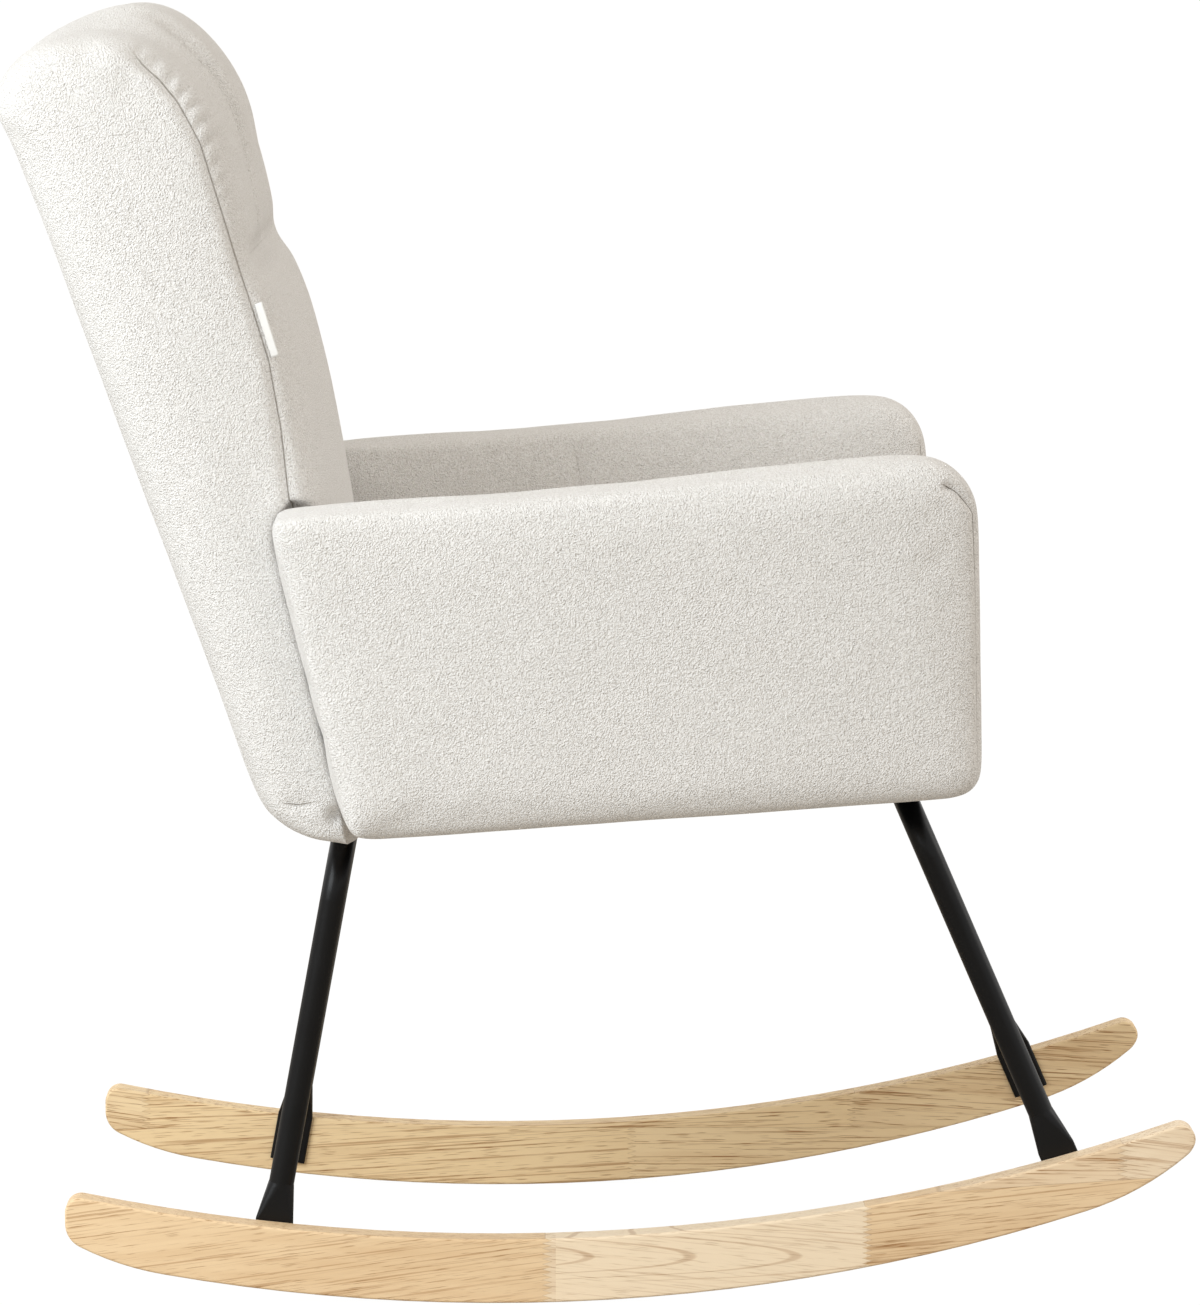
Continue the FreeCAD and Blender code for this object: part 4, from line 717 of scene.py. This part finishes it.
arm_room.data.transform(Matrix.Translation((arm_overlap, 0, -arm_overlap)))
for side in (1, -1):
    cut = back_rest.modifiers.new("arm_room", "BOOLEAN")
    cut.operation, cut.solver, cut.object = "DIFFERENCE", "EXACT", arm_room
    apply_modifiers(back_rest)
    arm_room.data.transform(Matrix.Scale(-1, 4, (0, 1, 0)))
    arm_room.data.flip_normals()
bpy.data.objects.remove(arm_room)
cut_cover(back_rest, back_grid, back_slack)
points = read_points(back_rest)
x, y, z = points.T
lower_corner = step(np.abs(y), 0.228, 0.262) * step(x, -0.250, -0.200) * (1 - step(z, 0.0, 0.035))
points[:, 2] -= corner_drop * lower_corner
move_points(back_rest, points)


def in_back(points):
    """Places forward of the back's rear face and up along it."""
    x, z = points[:, 0] - back_heel, points[:, 2]
    return x * lean_cos + z * lean_sin, z * lean_cos - x * lean_sin


def back_seams(points, normals):
    """The back's seams: pad to side panel, level crease or rear panel seam, and the upright creases."""
    depth, height = in_back(points)
    side = np.abs(points[:, 1])
    facing = normals[:, 0] * lean_cos + normals[:, 2] * lean_sin
    pad = depth - seam_place_at(height)
    on_front = step(pad, 0.004, 0.014) * step(facing, 0.0, 0.3)
    on_rear = step(-facing, 0.5, 0.8) * step(height, 0.03, 0.06)
    rear_edge = np.minimum(0.252 - side, 0.580 - height)
    across_front = on_front * (1 - step(side, 0.20, 0.265))
    x, y, z = points.T
    tuck = z - 0.0255 - 0.12 * np.abs(x + 0.2225)
    on_tuck = step(x, -0.239, -0.228) * (1 - step(x, -0.218, -0.209)) * step(side, 0.268, 0.276)
    near_tuck = (side > 0.26) & (z < 0.05)
    return [
        (pad, step(height, 0.205, 0.225) * (1 - step(height, 0.568, 0.586))),
        (
            np.where(near_tuck, tuck, np.where(depth > 0.06, height - crease_height, rear_edge)),
            np.where(near_tuck, on_tuck, np.where(depth > 0.06, across_front, on_rear)),
        ),
        (
            side - crease_side,
            np.maximum(on_front, step(pad, 0.0, 0.01))
            * step(height, crease_height, 0.42)
            * (1 - step(height, 0.565, 0.61)),
        ),
    ]


points, normals = read_points(back_rest), read_points(back_rest, "normal")
seams = back_seams(points, normals)
x, y, z = points.T
against_arm = (1 - step(past_arm(x, z), 0.006, 0.014)) * step(np.abs(y), 0.24, 0.25)
held = np.maximum.reduce([near(distance, 0.006) * shown for distance, shown in seams])
held = np.maximum(held, np.maximum(against_arm, step(-z, -0.012, -0.004)))
fill_cover(back_rest, held, back_swell)
points, normals = read_points(back_rest), read_points(back_rest, "normal")
depth, height = in_back(points)
seams = back_seams(points, normals)
inward = np.array((-lean_cos, 0, -lean_sin))
(pad, pad_shown), (level, level_shown), (upright, upright_shown) = seams
level_front = level_shown * (depth > 0.06)
level_rear = level_shown * (depth <= 0.06)
points += inward * (level_depth * level_front * near(level, 0.011))[:, None]
points -= normals * (upright_depth * upright_shown * near(upright, 0.012))[:, None]
points -= normals * (pad_seam_depth * pad_shown * near(pad, 0.006))[:, None]
points -= normals * (rear_seam_depth * level_rear * near(level, 0.005))[:, None]
on_flank = step(np.abs(points[:, 1]), 0.236, 0.266)
beside_head_roll = step(height, 0.42, 0.50) * (1 - step(height, 0.585, 0.60))
gather_phase = height * gathers_per_metre - pad * gather_slant + 2.2 * waves(points, 0.04, 2)
gathers = np.abs(np.sin(gather_phase)) - 0.64
pucker = gathers * step(pad, 0, 0.004) * (1 - step(pad, 0.006, 0.034))
points += normals * (gather_depth * pucker * on_flank * beside_head_roll)[:, None]
pinch = near(np.hypot(points[:, 0] - pinch_x, points[:, 2] - pinch_z), pinch_size)
pinch *= np.abs(points[:, 1]) > 0.25
points[:, 1] -= np.sign(points[:, 1]) * pinch_depth * pinch
points += normals * (0.0003 * waves(points, 0.05, 17) + 0.0009 * waves(points, 0.17, 23))[:, None]
move_points(back_rest, points)
# How dark the painted shade lines are drawn: the level crease only faintly in the middle of the front, the
# rear seam and tuck more, the upright creases faintly.
level_drawn = np.where(depth > 0.06, 0.3 * (1 - step(np.abs(points[:, 1]), 0.05, 0.2)), 0.8)
upright_drawn = 0.3
seams = [(pad, pad_shown), (level, level_shown * level_drawn), (upright, upright_shown * upright_drawn)]
mark_seams(back_rest, seams)
upholster(back_rest, 0.75, "back_cover", "back_foam", "back_rear_wadding")


# Tag. A short piece of white woven tape, folded in two along its length and sewn into the seam of the
# back's right side, so that it lies on the pad. It carries no print.

tag_cloth = Finish("white_woven_tape")
tag_z = tag_cloth.axes(tag_cloth.place)[2]
tape_half_pitch = 0.0004
tape_ribs = tag_z.math("PINGPONG", tape_half_pitch) / tape_half_pitch
tag_cloth.shade(
    {
        "Base Color": tag_cloth.mix(tape_ribs, paint(240, 240, 238), paint(252, 252, 251)),
        "Roughness": 0.55 + tape_ribs * 0.15,
        "Specular IOR Level": 0.3,
        "Normal": tag_cloth.bump(tape_ribs, 0.00012),
    }
)
tag_low, tag_high, tag_width, tape_thickness = 0.335, 0.377, 0.0056, 0.0003
over_pile, over_fold, stands_off, past_seam, fold_half = 0.0006, 0.0014, 0.05, 0.0006, 0.001
bpy.context.view_layer.update()
shape = bmesh.new()
bmesh.ops.create_grid(shape, x_segments=24, y_segments=20, size=0.5)
for vert in shape.verts:
    along = (vert.co.x + 0.5) * 2 * tag_width
    up = tag_low + (vert.co.y + 0.5) * (tag_high - tag_low)
    out = min(along, 2 * tag_width - along)
    folded_back = float(step(along, tag_width - fold_half, tag_width + fold_half))
    lift = over_pile + (over_fold - over_pile) * folded_back
    sewn_at = float(seam_place_at(up)) + past_seam
    sewn, reached = (
        seat_to_chair
        @ Vector((back_heel + n * lean_cos - up * lean_sin, -0.5, n * lean_sin + up * lean_cos))
        for n in (sewn_at, sewn_at + out)
    )
    spot = back_rest.ray_cast(sewn, (0, 1, 0))[1]
    vert.co = (reached.x, spot.y - lift - stands_off * out, reached.z)
bmesh.ops.smooth_vert(
    shape, verts=shape.verts, factor=0.5, use_axis_x=True, use_axis_y=True, use_axis_z=True
)
bmesh.ops.solidify(shape, geom=shape.faces[:], thickness=tape_thickness)
sewn_tag = new_piece("sewn_tag", shape, tag_cloth)
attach(sewn_tag, "root")
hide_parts("side_tag")


# Floor, light and camera. A white studio floor that runs into a white background, one large soft lamp up
# on the left, a weak one on the right, and a long lens a little above the chair, looking at its right side.

floor_size, floor_drop, floor_colour = 150.0, 0.0005, (0.48, 0.45, 0.41, 1)
glow_share, glow_strength = 0.9, 1.1
studio = bpy.data.materials.new("studio_floor")
studio.use_nodes = True
studio_nodes, studio_links = studio.node_tree.nodes, studio.node_tree.links
studio_nodes.clear()
floor_out = studio_nodes.new("ShaderNodeOutputMaterial")
floor_mix = studio_nodes.new("ShaderNodeMixShader")
floor_paint = studio_nodes.new("ShaderNodeBsdfDiffuse")
floor_glow = studio_nodes.new("ShaderNodeEmission")
floor_path = studio_nodes.new("ShaderNodeLightPath")
floor_share = studio_nodes.new("ShaderNodeMath")
floor_share.operation = "MULTIPLY"
floor_share.inputs[1].default_value = glow_share
floor_paint.inputs["Color"].default_value = floor_colour
floor_glow.inputs["Color"].default_value = (1, 1, 1, 1)
floor_glow.inputs["Strength"].default_value = glow_strength
studio_links.new(floor_path.outputs["Is Camera Ray"], floor_share.inputs[0])
studio_links.new(floor_share.outputs[0], floor_mix.inputs[0])
studio_links.new(floor_paint.outputs[0], floor_mix.inputs[1])
studio_links.new(floor_glow.outputs[0], floor_mix.inputs[2])
studio_links.new(floor_mix.outputs[0], floor_out.inputs[0])
floor_shape = bmesh.new()
bmesh.ops.create_grid(floor_shape, x_segments=1, y_segments=1, size=floor_size)
bmesh.ops.translate(floor_shape, verts=floor_shape.verts, vec=(0, 0, -floor_drop))
floor_mesh = bpy.data.meshes.new("floor")
floor_shape.to_mesh(floor_mesh)
floor_shape.free()
floor_mesh.materials.append(studio)
floor = bpy.data.objects.new("floor", floor_mesh)
bpy.context.scene.collection.objects.link(floor)

world = bpy.data.worlds.new("studio_world")
bpy.context.scene.world = world
world.use_nodes = True
world_nodes, world_links = world.node_tree.nodes, world.node_tree.links
sky = world_nodes["Background"]
sky.inputs["Color"].default_value = (1.0, 0.942, 0.86, 1)
sky.inputs["Strength"].default_value = 0.78
backdrop = world_nodes.new("ShaderNodeBackground")
backdrop.inputs["Color"].default_value = (1, 1, 1, 1)
backdrop.inputs["Strength"].default_value = 1.0
sky_path = world_nodes.new("ShaderNodeLightPath")
seen = world_nodes.new("ShaderNodeMath")
seen.operation = "MAXIMUM"
seen_too = world_nodes.new("ShaderNodeMath")
seen_too.operation = "MAXIMUM"
sky_mix = world_nodes.new("ShaderNodeMixShader")
world_links.new(sky_path.outputs["Is Camera Ray"], seen.inputs[0])
world_links.new(sky_path.outputs["Is Glossy Ray"], seen.inputs[1])
world_links.new(seen.outputs[0], seen_too.inputs[0])
world_links.new(sky_path.outputs["Is Transmission Ray"], seen_too.inputs[1])
world_links.new(seen_too.outputs[0], sky_mix.inputs[0])
world_links.new(sky.outputs[0], sky_mix.inputs[1])
world_links.new(backdrop.outputs[0], sky_mix.inputs[2])
world_links.new(sky_mix.outputs[0], world_nodes["World Output"].inputs[0])


def soft_lamp(name, place, aim, size, power, colour):
    lamp = bpy.data.lights.new(name, "AREA")
    lamp.size, lamp.energy, lamp.color = size, power, colour
    holder = bpy.data.objects.new(name, lamp)
    holder.location = place
    holder.rotation_euler = (Vector(aim) - Vector(place)).to_track_quat("-Z", "Y").to_euler()
    bpy.context.scene.collection.objects.link(holder)


soft_lamp("key_lamp", (-1.65, -1.55, 1.46), (-0.25, 0, 0.6), 1.5, 40, (0.89, 0.955, 1.0))
soft_lamp("fill_lamp", (3.0, 0.3, 1.7), (0.0, 0, 0.5), 1.6, 16, (1.0, 0.97, 0.93))

camera_place, looks_down, turned_right = (-0.0522, -4.95, 1.0222), 6.409, 0.6265
camera_data = bpy.data.cameras.new("camera")
camera_data.lens = 175.48
camera_data.sensor_width = 36.0
camera = bpy.data.objects.new("camera", camera_data)
camera.location = camera_place
camera.rotation_euler = (math.radians(90 - looks_down), 0, math.radians(-turned_right))
bpy.context.scene.collection.objects.link(camera)
bpy.context.scene.camera = camera
bpy.context.scene.view_settings.view_transform = "Standard"
